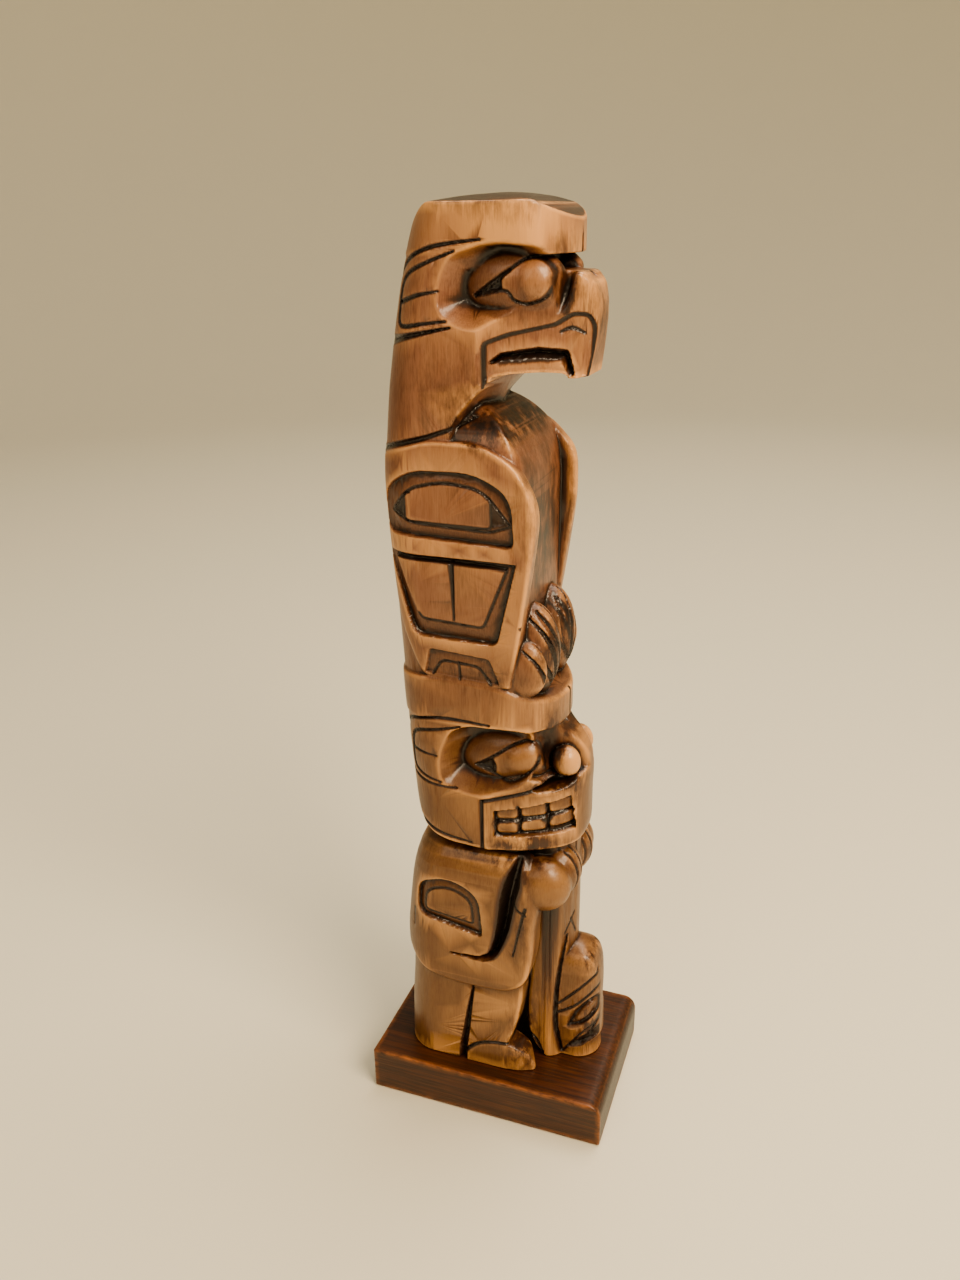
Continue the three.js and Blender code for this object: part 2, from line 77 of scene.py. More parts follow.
# The back of the pole in side view, as height and distance behind the middle.
BACK_LINE = [
    (19, 37), (43, 36), (60, 35.6), (74, 36.6), (92, 34.6), (129, 29.8), (162, 32.4), (178, 34),
    (215, 35.4), (250, 37.8), (263, 37.8), (283, 35.2), (304, 31.8), (320, 29), (330, 26), (343, 22),
]


# ---- Curves ---------------------------------------------------------------------------------------
def rounded(corners, radius, steps=6):
    """A closed outline whose corners are eased. A corner may carry its own radius as a third number."""
    points = []
    for i, corner in enumerate(corners):
        here = np.array(corner[:2], float)
        back = np.array(corners[i - 1][:2], float) - here
        ahead = np.array(corners[(i + 1) % len(corners)][:2], float) - here
        reach = corner[2] if len(corner) > 2 else radius
        reach = min(reach, 0.45 * np.hypot(*back), 0.45 * np.hypot(*ahead))
        if reach < 0.05:
            points.append(here)
            continue
        start = here + back / np.hypot(*back) * reach
        end = here + ahead / np.hypot(*ahead) * reach
        for t in np.linspace(0, 1, steps + 1):
            points.append((1 - t) ** 2 * start + 2 * t * (1 - t) * here + t * t * end)
    return np.array(points)


def flowing(points, per_span=6, closed=False):
    """A smooth curve through given points."""
    points = np.array(points, float)
    if closed:
        padded = np.vstack([points[-1], points, points[0], points[1]])
    else:
        padded = np.vstack([2 * points[0] - points[1], points, 2 * points[-1] - points[-2]])
    curve = []
    for a, b, c, d in zip(padded, padded[1:], padded[2:], padded[3:]):
        for t in np.arange(per_span) / per_span:
            curve.append(0.5 * (2 * b + (c - a) * t + (2 * a - 5 * b + 4 * c - d) * t ** 2
                                + (3 * b - a - 3 * c + d) * t ** 3))
    curve.append(points[0] if closed else points[-1])
    return np.array(curve)


def symmetric(half):
    """A whole outline from its half on the right of the middle."""
    return list(half) + [(-x, y) for x, y in reversed(half)]


def segment_distance(u, v, a, b):
    """Distance from each point (u, v) to the segment a-b, and how far along it the nearest place is."""
    du, dv = b[0] - a[0], b[1] - a[1]
    length2 = max(du * du + dv * dv, 1e-9)
    t = np.clip(((u - a[0]) * du + (v - a[1]) * dv) / length2, 0, 1)
    return np.hypot(u - a[0] - t * du, v - a[1] - t * dv), t


def outline_distance(outline, u, v):
    """Signed distance from a closed outline, negative inside."""
    nearest = np.full(np.broadcast(u, v).shape, 1e6, np.float32)
    inside = np.zeros(nearest.shape, bool)
    for i in range(len(outline)):
        a, b = outline[i - 1], outline[i]
        distance, _ = segment_distance(u, v, a, b)
        nearest = np.minimum(nearest, distance)
        if a[1] != b[1]:
            crossing = (v < a[1]) != (v < b[1])
            inside ^= crossing & (u < (b[0] - a[0]) * (v - a[1]) / (b[1] - a[1]) + a[0])
    return np.where(inside, -nearest, nearest).astype(np.float32)


def stroke_profile(path, widths, u, v):
    """1 along the middle of a cut line and 0 at its edges, with a width that changes along the line."""
    path = np.asarray(path, float)
    steps = np.hypot(*np.diff(path, axis=0).T)
    travelled = np.concatenate([[0], np.cumsum(steps)]) / max(steps.sum(), 1e-6)
    width_at = np.interp(travelled, np.linspace(0, 1, len(widths)), widths)
    profile = np.zeros(np.broadcast(u, v).shape, np.float32)
    for i in range(len(path) - 1):
        reach = max(width_at[i], width_at[i + 1])
        low = np.minimum(path[i], path[i + 1]) - reach
        high = np.maximum(path[i], path[i + 1]) + reach
        iu = slice(*np.searchsorted(u.ravel(), [low[0], high[0]]))
        iv = slice(*np.searchsorted(v.ravel(), [low[1], high[1]]))
        uu, vv = (u[iu, :], v[:, iv]) if profile.ndim == 2 else (u, v)
        if uu.size == 0 or vv.size == 0:
            continue
        distance, t = segment_distance(uu, vv, path[i], path[i + 1])
        width = width_at[i] + t * (width_at[i + 1] - width_at[i])
        part = 1 - distance / np.maximum(0.5 * width, 1e-3)
        profile[iu, iv] = np.maximum(profile[iu, iv], part)
    return np.maximum(profile, 0)


# ---- The block of wood as a field of distances ----------------------------------------------------
# The near half (x below 0) and the far half are carved apart, because the far wing stands higher. The
# far half is carved as if it were near, and is mirrored when the two are put together.
STEP = 0.4
HALF_BLOCK = 28.8
BLOCK_FRONT, BLOCK_BACK = -44, 41.2
MARGIN = 2
FAR_OUTSIDE = 6.0
XS = -STEP * np.arange(round(HALF_BLOCK / STEP), -1, -1).astype(np.float32)
YS = np.arange(BLOCK_FRONT, BLOCK_BACK, STEP).astype(np.float32)
ZS = np.arange(BASE - MARGIN, TOP + MARGIN, STEP).astype(np.float32)


class Storey:
    """A stretch of the block between two heights."""

    def __init__(self, low, high, far_side=False):
        self.far_side = far_side
        self.span = slice(*np.searchsorted(ZS, [low, high]))
        self.x = XS[:, None, None]
        self.y = YS[None, :, None]
        self.z = ZS[None, None, self.span]


def smooth_max(a, b, ease):
    """The larger of two distances, with the crease between them eased over a width."""
    over = np.maximum(ease - np.abs(a - b), 0) / ease
    return np.maximum(a, b) + over * over * (ease * 0.25)


def smooth_min(a, b, ease):
    return -smooth_max(-a, -b, ease)


def join(shapes, ease=0.6):
    """All the wood of the shapes."""
    whole = shapes[0]
    for shape in shapes[1:]:
        whole = smooth_min(whole, shape, ease)
    return whole


def common(shapes, ease=1.6):
    """The wood that all the shapes share."""
    whole = shapes[0]
    for shape in shapes[1:]:
        whole = smooth_max(whole, shape, ease)
    return whole


def take_off(shape, cutter, ease=0.6):
    """The shape without the wood inside the cutter."""
    return smooth_max(shape, -cutter, ease)


def back_at(z):
    """The back line, eased by a mean over a stretch of height."""
    heights, backs = np.array(BACK_LINE, float).T
    offsets = np.linspace(-6, 6, 7)
    return np.mean([np.interp(z + offset, heights, backs) for offset in offsets], axis=0)


def column(storey, levels, back_round=BACK_ROUND, back=None):
    """A rounded post. Each level is (z, half width, front, front radius, distance inside the back line)."""
    table = np.array([tuple(level) + (0,) * (5 - len(level)) for level in levels], float).T
    half, front, front_round, inside = (np.interp(storey.z, table[0], row) for row in table[1:])
    rear = (back_at(storey.z) if back is None else back) - inside
    middle = (front + rear) / 2
    radius = np.where(storey.y > middle, back_round, front_round).astype(np.float32)
    qx = np.abs(storey.x) - half + radius
    qy = np.abs(storey.y - middle) - (rear - front) / 2 + radius
    outside = np.hypot(np.maximum(qx, 0), np.maximum(qy, 0))
    return (outside + np.minimum(np.maximum(qx, qy), 0) - radius).astype(np.float32)


def across(storey, outline):
    """A side view outline (y, z), sawn straight across the pole."""
    return outline_distance(outline, storey.y[0], storey.z[0])[None]


def upright(storey, outline):
    """A plan outline (x, y), running up the pole."""
    return outline_distance(outline, storey.x[:, :, 0], storey.y[:, :, 0])[:, :, None]


def through(storey, outline):
    """A front view outline (x, z), running from front to back."""
    return outline_distance(outline, storey.x[:, 0, :], storey.z[:, 0, :])[:, None, :]


def throat(storey):
    """The neck's front, which turns from flat under the beak to a blunt wedge at the breast."""
    front = np.interp(storey.z, [262, 275, 280, 286, 288.6, 290.4], [3.4, 1.2, 0.4, -1.6, -2.8, -60])
    slope = np.interp(storey.z, [262, 275, 280, 287], [0.34, 0.34, 0.24, 0.05])
    return ((front + slope * np.abs(storey.x) - storey.y) * 0.9).astype(np.float32)


def ellipsoid(storey, centre, radii, tilt=0.0):
    """Radii along x, y and z. The tilt in degrees turns it in side view, its front end upwards."""
    x = storey.x - centre[0]
    dy, dz = storey.y - centre[1], storey.z - centre[2]
    c, s = math.cos(math.radians(tilt)), math.sin(math.radians(tilt))
    y, z = dy * c - dz * s, dy * s + dz * c
    near = np.sqrt((x / radii[0]) ** 2 + (y / radii[1]) ** 2 + (z / radii[2]) ** 2)
    slope = np.sqrt((x / radii[0] ** 2) ** 2 + (y / radii[1] ** 2) ** 2 + (z / radii[2] ** 2) ** 2)
    return (near * (near - 1) / np.maximum(slope, 1e-4)).astype(np.float32)


def sloping_pocket(storey, outline, rim_x, floor_x, slope_top, slope_low, turn_z):
    """A recess from the right side. Its walls close in as it goes deeper, less under the brow."""
    edge = across(storey, outline)
    share = np.clip((turn_z - storey.z) / 6, 0, 1)
    slope = slope_top + (slope_low - slope_top) * share
    return smooth_max(edge + np.maximum(storey.x - rim_x, 0) * slope, storey.x - floor_x, 2.0)


# ---- Thunderbird: head ----------------------------------------------------------------------------
BEAK_PLAN = symmetric([(FAR, FAR), (FAR, 0), (24.9, 0), (20.4, -10), (9.8, -30), (6.8, -32.8), (2, -34)])
BIRD_PROFILE = [
    (45, 255), (45, 327.5), (-16, 327.5), (-16, 321.6), (-21.7, 320.9), (-28.2, 320.4), (-31.6, 317.0),
    (-33.1, 311.7), (-33.2, 307), (-31.8, 298.2), (-29.9, 287.3), (-25.6, 287.6), (-23.4, 290.8),
    (-16.7, 291.4), (-8.6, 291.2), (-2.6, 290.2), (-2.6, 268), (9, 255),
]
BIRD_RIDGE = [(5, 322), (8, 318.5), (12.5, 313.5), (22, 309), (40, 309), (40, 332), (5, 332)]
BROW_PLAN = symmetric([
    (FAR, FAR), (FAR, 0), (25.6, -1), (25.5, -11), (23.8, -17), (18, -21.4), (9, -24.3), (1, -25.4),
])
CROWN_PROFILE = [
    (40, 320), (27, 327), (26, 330), (23.3, 335.5), (17.8, 340.4), (7.8, 342.4), (-2, 343.2),
    (-7, 342.9), (-12.8, 341.9), (-16.7, 340.2), (-21.1, 337.9), (-24.3, 336.1), (-30, 333), (-30, 320),
]
CROWN_FRONT = symmetric([(30, 300), (30, 339.4), (25.3, 340.3), (14, 342.2), (4, 343.2)])
BIRD_SOCKET = rounded([
    (13.4, 309), (13.2, 317), (9.5, 325.5), (-4, 329.4), (-18, 328.2), (-36, 325.6, 0), (-36, 315.6, 0),
    (-24.5, 312.4), (-12, 306.2), (5, 304.2),
], 5)
BIRD_MOUND = rounded([
    (8.2, 315.5), (3.8, 310.4), (-2.4, 307.4), (-13.5, 308.2), (-20.4, 312.4), (-22, 318.5), (-20.4, 324.2),
    (-11.3, 328.4), (-2, 327.6), (5, 323.2),
], 4)
BIRD_LIPS = rounded([
    (-1.1, 286), (-1.1, 300.4), (-8, 302.9), (-21, 305.5), (-25.7, 308.5), (-30, 308.2), (-31.6, 305),
    (-31.4, 296), (-29.6, 286),
], 1.4)
BIRD_MOUTH = [(-3, 294.8), (-6, 296.6), (-16, 297.4), (-23.4, 296.6), (-25.2, 291)]
BIRD_TEAR = [
    (3, 314), (-8.7, 321.6), (-13, 324.4), (-17.6, 324.6), (-21.2, 321.4), (-21.6, 317.6), (-19, 313.6),
    (-14, 311.8), (-10, 312.8), (-7, 315.6),
]


def bird_head(s):
    mass = column(s, [
        (255, HALF["neck"], -36, 1, 1.2), (270, HALF["neck"], -36, 1, 0.5), (286, 25.2, -36, 1),
        (304, 25.2, -36, 1), (327.5, 25.1, -36, 1, 0.4),
    ])
    face = common([mass, across(s, rounded(BIRD_PROFILE, 1.2)), upright(s, rounded(BEAK_PLAN, 3))], 1.6)
    face = common([face, throat(s)], 1.2)
    ridge = common([through(s, rounded(BIRD_RIDGE, 2)), s.y + 18], 1.0)
    face = take_off(face, ridge, 3.0)
    band = common([
        column(s, [(324.5, 25, -27, 2), (330, HALF["brow"], -27, 2), (TOP + 1, HALF["brow"], -27, 2)]),
        upright(s, rounded(BROW_PLAN, 6)),
    ], 0.6)
    crown = common([band, across(s, rounded(CROWN_PROFILE, 3)), through(s, rounded(CROWN_FRONT, 2)),
                    325.6 - s.z], 0.8)
    head = smooth_min(face, crown, 0.8)
    socket = sloping_pocket(s, BIRD_SOCKET, -25.0, -16.8, 0.15, 0.9, 328)
    head = take_off(head, socket, 0.8)
    lids = ellipsoid(s, (-12, -7, 317.4), (9.6, 17.0, 11.4))
    ball = ellipsoid(s, (-14.4, -14.6, 318.0), (7.6, 7.8, 7.8))
    gap = ellipsoid(s, (-18, -24.0, 318.5), (9, 2.4, 10.5), -10)
    return take_off(join([head, lids, ball], 0.5), gap, 1.2)


def bird_head_cuts(cut):
    cut.panel(BIRD_LIPS, 0.8, 0.5)
    cut.panel([(-1.1, 301), (1.6, 297), (1.4, 288), (-1.1, 288)], 1.2, 2.4)
    cut.line(BIRD_MOUTH, [1.2, 3.0, 3.4, 3.2, 2.0], 3.4, smooth=False)
    cut.panel([(-4, 294.6), (-6, 297.4), (-23.4, 298), (-23.4, 294.9), (-10, 294.6)], 1.0, 0.8, 0.9)
    cut.line(BIRD_LIPS[:-4], [1.2], 0.9, smooth=False)
    cut.line([(-22.2, 303.3), (-25.5, 304.4), (-29.1, 302.7)], [0.6, 1.2, 0.6], 0.7)
    cut.panel(BIRD_MOUND, 0.01, 1.0, 0.36)
    cut.wipe(BIRD_TEAR, 0.85)
    cut.line(BIRD_TEAR + BIRD_TEAR[:1], [1.0], 0.9)
    cut.line([(3, 314), (-3, 317.6), (-8.6, 321.4)], [0.7, 1.8, 1.4], 0.9)
    cut.panel([(3.4, 314), (-8.4, 321.4), (-6.2, 318.4), (-6.6, 315.6)], 2.0, 1.0, 1.0)
    cut.line([(-1, 330), (9.3, 328.9), (16.4, 327.5), (23.6, 324.3), (28.4, 318), (32, 306), (33.6, 299.8)],
             [0.5, 1.2, 1.2, 1.2, 1.1], 0.9)
    cut.line([(7.4, 326.8), (16.4, 323.6), (22.9, 320.7), (25.8, 317.1), (26.9, 311.4), (27.2, 306.4),
              (25, 305), (18, 306), (10.6, 306.8)], [0.5, 1.2, 1.2, 1.2, 0.6], 0.9)
    cut.line([(26.6, 312), (20, 314.2), (12.9, 315.5)], [1.2, 1.2, 0.4], 0.8)
    cut.line([(35, 299), (31.5, 300.4), (20, 302.9), (9.3, 305)], [4.0, 2.4, 1.4, 0.5], 1.3)


# ---- Thunderbird: body, wings and feet ------------------------------------------------------------
NEAR_WING = rounded([
    (46, 262, 0), (30, 267), (18, 270.6), (0, 270.2), (-12, 264), (-19.4, 250), (-17.4, 233),
    (-12.9, 204), (-9.2, 186.6, 1), (0, 186.4, 0), (22, 188.2, 2), (24.6, 192), (31.4, 209), (35.2, 231),
    (46, 252, 0),
], 8)
FAR_WING = rounded([
    (46, 264, 0), (30, 270), (18, 274.6), (6, 275.8), (-8.4, 271), (-19.0, 259.6), (-19.8, 247), (-17.4, 233),
    (-12.9, 204), (-9.2, 186.6, 1), (0, 186.4, 0), (22, 188.2, 2), (24.6, 192), (31.4, 209), (35.2, 231),
    (46, 252, 0),
], 6)
WING_OVOID = rounded([
    (34.6, 239, 5), (34.4, 254, 7), (24, 260.9, 8), (2, 261.2, 8), (-10.6, 254.5, 8), (-11.6, 237, 3),
], 5)
WING_OVOID_LID = rounded([
    (31.5, 246.6, 0), (25, 254.6, 4), (13, 257.6, 6), (-1, 255.6, 5), (-10.2, 244.4, 0), (-3.4, 242, 2),
    (24, 243.2, 3),
], 3)
WING_FEATHERS = rounded([(34.2, 232.8, 0), (24.4, 203.6, 4), (-5.4, 202.6, 3), (-12.4, 232.2, 0)], 3)
WING_FEATHER_FIELD = rounded([(30.6, 230.6, 0), (21.6, 210, 2), (-0.6, 208.6, 2), (-9, 229.6, 0)], 2)
WING_LOWER = rounded([(21.8, 189.4, 0), (19.4, 199.2, 1.5), (-2.4, 197.4, 1.5), (-5.8, 187.6, 0)], 1)
WING_LOWER_FIELD = rounded([(18.6, 189.4, 0), (15.2, 194.8, 2), (1.8, 193.8, 2), (-2.6, 187.6, 0)], 1)


def bird_body(s):
    mass = column(s, [
        (184, 23.6, -13, 6), (215, HALF["body"], -13.6, 6), (250, HALF["body"], -14.2, 6),
        (262, HALF["body"] + 0.4, -14, 7), (284, 23.4, -10, 8),
    ])
    breast = across(s, rounded([
        (45, 180), (45, 265.4), (20, 272), (10, 277), (4, 281.6), (0.4, 279.8), (-4, 276.6), (-8.6, 271.4),
        (-12.2, 264.6), (-14, 256), (-13.4, 180),
    ], 4))
    shoulders = through(s, rounded(symmetric([(30, 170), (30, 262), (26, 266), (21.5, 275), (14, 283)]), 6))
    body = common([mass, breast, shoulders], 1.6)
    limits = column(s, [
        (180, 24.6, -19.6, 4, 0.5), (192, 25.2, -19.6, 4, 0.5), (204, 26.6, -19.6, 4, 0.5),
        (216, HALF["wing"], -19.6, 4, 0.5), (276, HALF["wing"], -19.6, 4, 0.5),
    ])
    inner = 21.6 if s.far_side else 20.6
    wing = common([limits, across(s, FAR_WING if s.far_side else NEAR_WING), s.x + inner], 1.4)
    tail = common([
        column(s, [(165, 23.4, 0, 2, -0.4), (178, 23.7, 0, 2, -0.4), (195, 24, 0, 2, -0.4)]),
        across(s, rounded([(40, 187.6), (40, 176), (34.6, 171.6), (31.5, 182), (29.3, 187.6)], 1.5)),
    ], 1.2)
    return join([body, wing, tail], 0.6)


def bird_feet(s):
    foot = ellipsoid(s, (-10.4, -12.5, 196.5), (9.2, 10.4, 17.6))
    ankle = ellipsoid(s, (-19.6, -12.8, 192.6), (4.2, 8.2, 10.4))
    return join([foot, ankle], 0.8)


def bird_feet_cuts(cut):
    for toe in (
        [(-19, 201), (-18.2, 196.6), (-15.5, 190.7), (-10.6, 183.6)],
        [(-16.8, 210), (-16.4, 205.7), (-14.9, 199.4), (-12.8, 192.5), (-10.2, 184)],
        [(-13.8, 212), (-13, 206.4), (-11.2, 199.3), (-9.8, 192.1), (-9.6, 184.7)],
        [(-10.2, 213), (-8.8, 206.7), (-7.8, 199.4), (-7.6, 193.4), (-9.0, 186)],
        [(-6.8, 212), (-5.0, 206), (-4.4, 199), (-5.4, 192), (-8.0, 187)],
    ):
        cut.line(toe, [0.6, 1.1, 1.1, 0.9], 1.3)


def bird_body_cuts(cut):
    for toe in (
        [(-13.2, 200.4), (-17.7, 196.6), (-20.5, 190.7), (-20.7, 183.4)],
        [(-13.5, 210), (-18.2, 205.7), (-21.4, 199.4), (-22.2, 192.5), (-20.8, 183.4)],
        [(-15.2, 212), (-20, 206.4), (-22.7, 199.3)],
    ):
        cut.line(toe, [0.6, 1.1, 1.1, 0.9], 1.3)
    cut.moat(WING_OVOID, WING_OVOID_LID, 2.3, 0.8, 0.62)
    cut.line(WING_OVOID_LID[list(range(len(WING_OVOID_LID))) + [0]], [1.0], 0.8, smooth=False)
    cut.panel([(31.5, 246.6), (26.6, 252.4), (26.4, 244.6)], 1.3, 0.8, 0.95)
    cut.panel([(-10.0, 244.6), (-3.4, 252.6), (-3.8, 243.4)], 1.3, 0.8, 0.8)
    lid_line = rounded([(-3.6, 253.4), (-3.8, 243), (26.4, 243.6), (26.6, 253.4)], 2)
    cut.line(lid_line[1:], [0.9], 0.6, smooth=False)
    cut.moat(WING_FEATHERS, WING_FEATHER_FIELD, 2.3, 0.5, 0.62)
    cut.line(list(WING_FEATHER_FIELD[1:]), [0.9], 0.7, smooth=False)
    cut.line([(30.4, 231.2), (10, 230.9), (-8.8, 230.3)], [1.4, 1.8, 1.4], 1.2)
    cut.line([(10.4, 231), (10, 222), (9.8, 210.5)], [2.4, 1.2, 0.6], 0.9)
    cut.moat(WING_LOWER, WING_LOWER_FIELD, 1.3, 0.5, 0.5)
    cut.line(list(WING_LOWER_FIELD), [1.0], 0.7, smooth=False)
    cut.line([(9, 194.6), (8.7, 188.4)], [1.0, 1.0], 0.7)
    cut.line([(39.5, 264.6), (30.7, 267.9), (20, 270.8), (14, 272.8), (8.4, 274.8), (2.8, 277.4)],
             [1.4, 1.8, 2.0, 1.8, 1.6, 0.8], 0.9)


# ---- Bear: head -----------------------------------------------------------------------------------
MUZZLE_PLAN = symmetric([(FAR, FAR), (FAR, 0), (25.9, 0), (22.5, -14), (15.5, -26), (9, -31), (2, -33.6)])
NOSE_PLAN = symmetric([(FAR, FAR), (FAR, -13), (14, -16), (8.6, -21.5), (5.4, -27), (3.6, -34), (1, -36)])
BEAR_PROFILE = [
    (45, 172.5), (45, 140), (31.2, 139), (29.6, 134.3), (26.4, 128.6), (21.4, 124.6), (14.3, 122.0),
    (2, 121.2), (-31.5, 120.8), (-33, 126), (-33.2, 141), (-34, 147.6), (-32.6, 155.2), (-30.5, 159.2),
    (-27.6, 162.4), (-24.6, 164.6), (-22, 167.4), (-19, 172.5),
]
BEAR_BROW = [
    (45, 171.2, 0), (45, 187, 0), (30, 187.6, 5), (12, 188.4), (-6, 186.6), (-15, 182.4), (-22, 179.6, 1),
    (-30, 179.4, 0), (-30, 167.8, 0), (-20, 167.6, 2), (-12, 169.6), (4, 171.2, 0),
]
BEAR_BROW_PLAN = symmetric([
    (FAR, FAR), (FAR, 6), (26.2, 2), (25.4, -8), (21, -15.4), (15, -20.4), (8, -23.2), (1, -24.2),
])
BEAR_SOCKET = rounded([
    (16.8, 146.4), (17.4, 157), (13.4, 167.5), (6, 171.0), (-10, 171.0), (-19, 168.6), (-34, 167.6, 0),
    (-34, 163, 0), (-24, 151.6), (-14, 146.8), (-4, 144.4), (6, 143.2),
], 5)
BEAR_TEAR = [
    (5.2, 153.0), (-2.6, 158.6), (-9.2, 163.0), (-15.2, 164.2), (-18.2, 160.4), (-16.4, 154.6),
    (-11.4, 150.2), (-6.4, 148.8), (-1.6, 151.2),
]
BEAR_MOUND = rounded([
    (12.6, 157.4), (11.0, 151.4), (5.8, 147.2), (-0.6, 145), (-12.4, 147.6), (-18.6, 154.6), (-20.6, 162.9),
    (-12, 166.4), (-1, 165.4), (7, 163.6),
], 4)
BEAR_TEETH = rounded([(-2.8, 127.0), (-2.8, 138.2), (-20, 140.8), (-28.6, 142.4), (-30, 127.4)], 0.8)


def bear_head(s):
    mass = column(s, [(118, HALF["bear"], -36, 1), (162, HALF["bear"], -36, 1), (172.5, 25.8, -36, 1, 0.6)])
    nose = upright(s, rounded(NOSE_PLAN, 3)) - np.clip(150.5 - s.z, 0, None) * 2.5
    muzzle = common([
        mass, across(s, rounded(BEAR_PROFILE, 3)), upright(s, rounded(MUZZLE_PLAN, 6)), nose,
    ], 1.8)
    brow = common([
        column(s, [(160, HALF["bear"], -26, 4), (171, HALF["bear"], -26, 4), (191, 25.4, -26, 4)]),
        across(s, rounded(BEAR_BROW, 4)), upright(s, rounded(BEAR_BROW_PLAN, 6)),
    ], 1.6)
    head = smooth_min(muzzle, brow, 0.8)
    socket = sloping_pocket(s, BEAR_SOCKET, -25.8, -16.2, 0.15, 0.75, 169)
    head = take_off(head, socket, 0.8)
    lids = ellipsoid(s, (-12.2, -3.9, 156.0), (9.4, 18.2, 11.4), 6)
    ball = ellipsoid(s, (-14.2, -10.2, 157.0), (8.0, 9.4, 7.4), 25)
    head = join([head, lids, ball], 0.5)
    for trench in (((-17, -21.4, 157.5), (7.6, 2.7, 11), 14), ((-17, -25.5, 147.8), (8.6, 10, 1.9), 10)):
        head = take_off(head, ellipsoid(s, *trench), 1.6)
    pearl = ellipsoid(s, (-9.2, -25.6, 154.2), (4.9, 5.2, 5.9), 10)
    ring = ellipsoid(s, (-10.4, -25.8, 154.4), (5.3, 6.2, 7.0), 10)
    return join([take_off(head, ring, 0.6), pearl], 0.3)


def bear_head_cuts(cut):
    cut.line([(1.2, 121), (1.2, 141.6)], [1.4], 1.0)
    cut.line([(1.2, 141.7), (-4.6, 143.1), (-11.1, 144.8), (-17.6, 146.6), (-24, 148.6), (-31, 150)],
             [1.4, 1.4, 1.4, 0.8], 1.0)
    cut.panel(BEAR_TEETH, 2.6, 0.5)
    left, right = -3.2, -29.6
    divides = (-11.8, -21.0)
    edges = [left, *divides, right]
    for a, b in zip(edges, edges[1:]):
        for low, high in ((127.2, 132.9), (133.3, 139.6)):
            rise = -0.11 * ((a + b) / 2 - left)
            tooth = rounded([
                (a, low + rise), (a, high + rise), (b, high + rise + 0.5), (b, low + rise + 0.2),
            ], 2.4)
            cut.swell(tooth, 1.7, 2.2)
    for divide in divides:
        cut.line([(divide + 0.3, 139.8), (divide, 134), (divide + 0.2, 128)], [1.2], 0.9)
        gum = [(divide + 1.9, 133.4), (divide, 136.2), (divide - 1.9, 134.2), (divide, 131.2)]
        cut.panel(gum, 1.0, 1.0, 1.0)
    cut.panel([(-2.8, 135.6), (-2.8, 130.2), (-5.2, 132.8)], 1.0, 1.0, 1.0)
    cut.line([(-3, 132.6), (-11.8, 133.6), (-20.6, 134.6), (-29, 135.8)], [1.0], 0.7)
    cut.panel(BEAR_MOUND, 0.01, 1.0, 0.3)
    cut.wipe(BEAR_TEAR, 0.85)
    cut.line(BEAR_TEAR + BEAR_TEAR[:1], [1.0], 0.9)
    cut.line([(-1.4, 157.4), (-2.6, 154.4), (-2.2, 151.2)], [1.0], 0.7)
    cut.panel([(5.4, 153.0), (-1.4, 157.8), (-2.4, 154.4), (-1.8, 151.2)], 2.0, 1.0, 1.0)
    cut.line([(-2, 172.2), (6, 172.8), (16, 172.8), (24, 171.4), (29, 169.4), (31.4, 165), (31.4, 157),
              (31, 150.6), (28.6, 147.6), (20, 145.6), (10.7, 145)], [0.5, 1.2, 1.2, 1.2, 1.2, 0.5], 0.9)
    cut.line([(8.8, 170.2), (16.4, 168.2), (24.6, 166.4), (27.6, 163.8), (28.4, 157.9), (28, 151.4),
              (24.6, 148.9), (16.4, 146.8)], [0.5, 1.2, 1.2, 1.2, 0.5], 0.9)
    cut.line([(28.4, 158.2), (17.9, 157.3)], [1.2, 0.5], 0.8)
    cut.line([(30.4, 134), (25.6, 129.5), (16.4, 125.4), (5, 123.7)], [1.2, 1.2, 0.6], 0.8)


# ---- Bear: body -----------------------------------------------------------------------------------
ARM_GROOVE = [(-12.0, 117), (-10.6, 110.5), (-8.4, 100.8), (-6.2, 86.8), (-2.6, 75.6), (1.6, 72.4), (7, 72.0),
              (14.8, 72.0)]
ARM_OVOID = rounded([(28.6, 87.4, 4), (28, 101.6, 6), (15.6, 106, 8), (3, 100.8, 6), (1.4, 81.8, 2.5)], 5)
ARM_OVOID_FIELD = rounded([
    (25.2, 89.8, 2.5), (24.2, 98.8, 4), (15, 101.8, 6), (6.2, 97.8, 4), (5.2, 87.2, 1.5),
], 3)
SHIN_CREASE = [(6.0, 57), (7.4, 48), (9, 36), (10.6, 26), (11.2, 17)]
SLAB_PLAN = symmetric([(14, -6), (14, -16), (13.4, -21), (11.6, -24.6), (6, -27.8), (1.5, -29.6)])


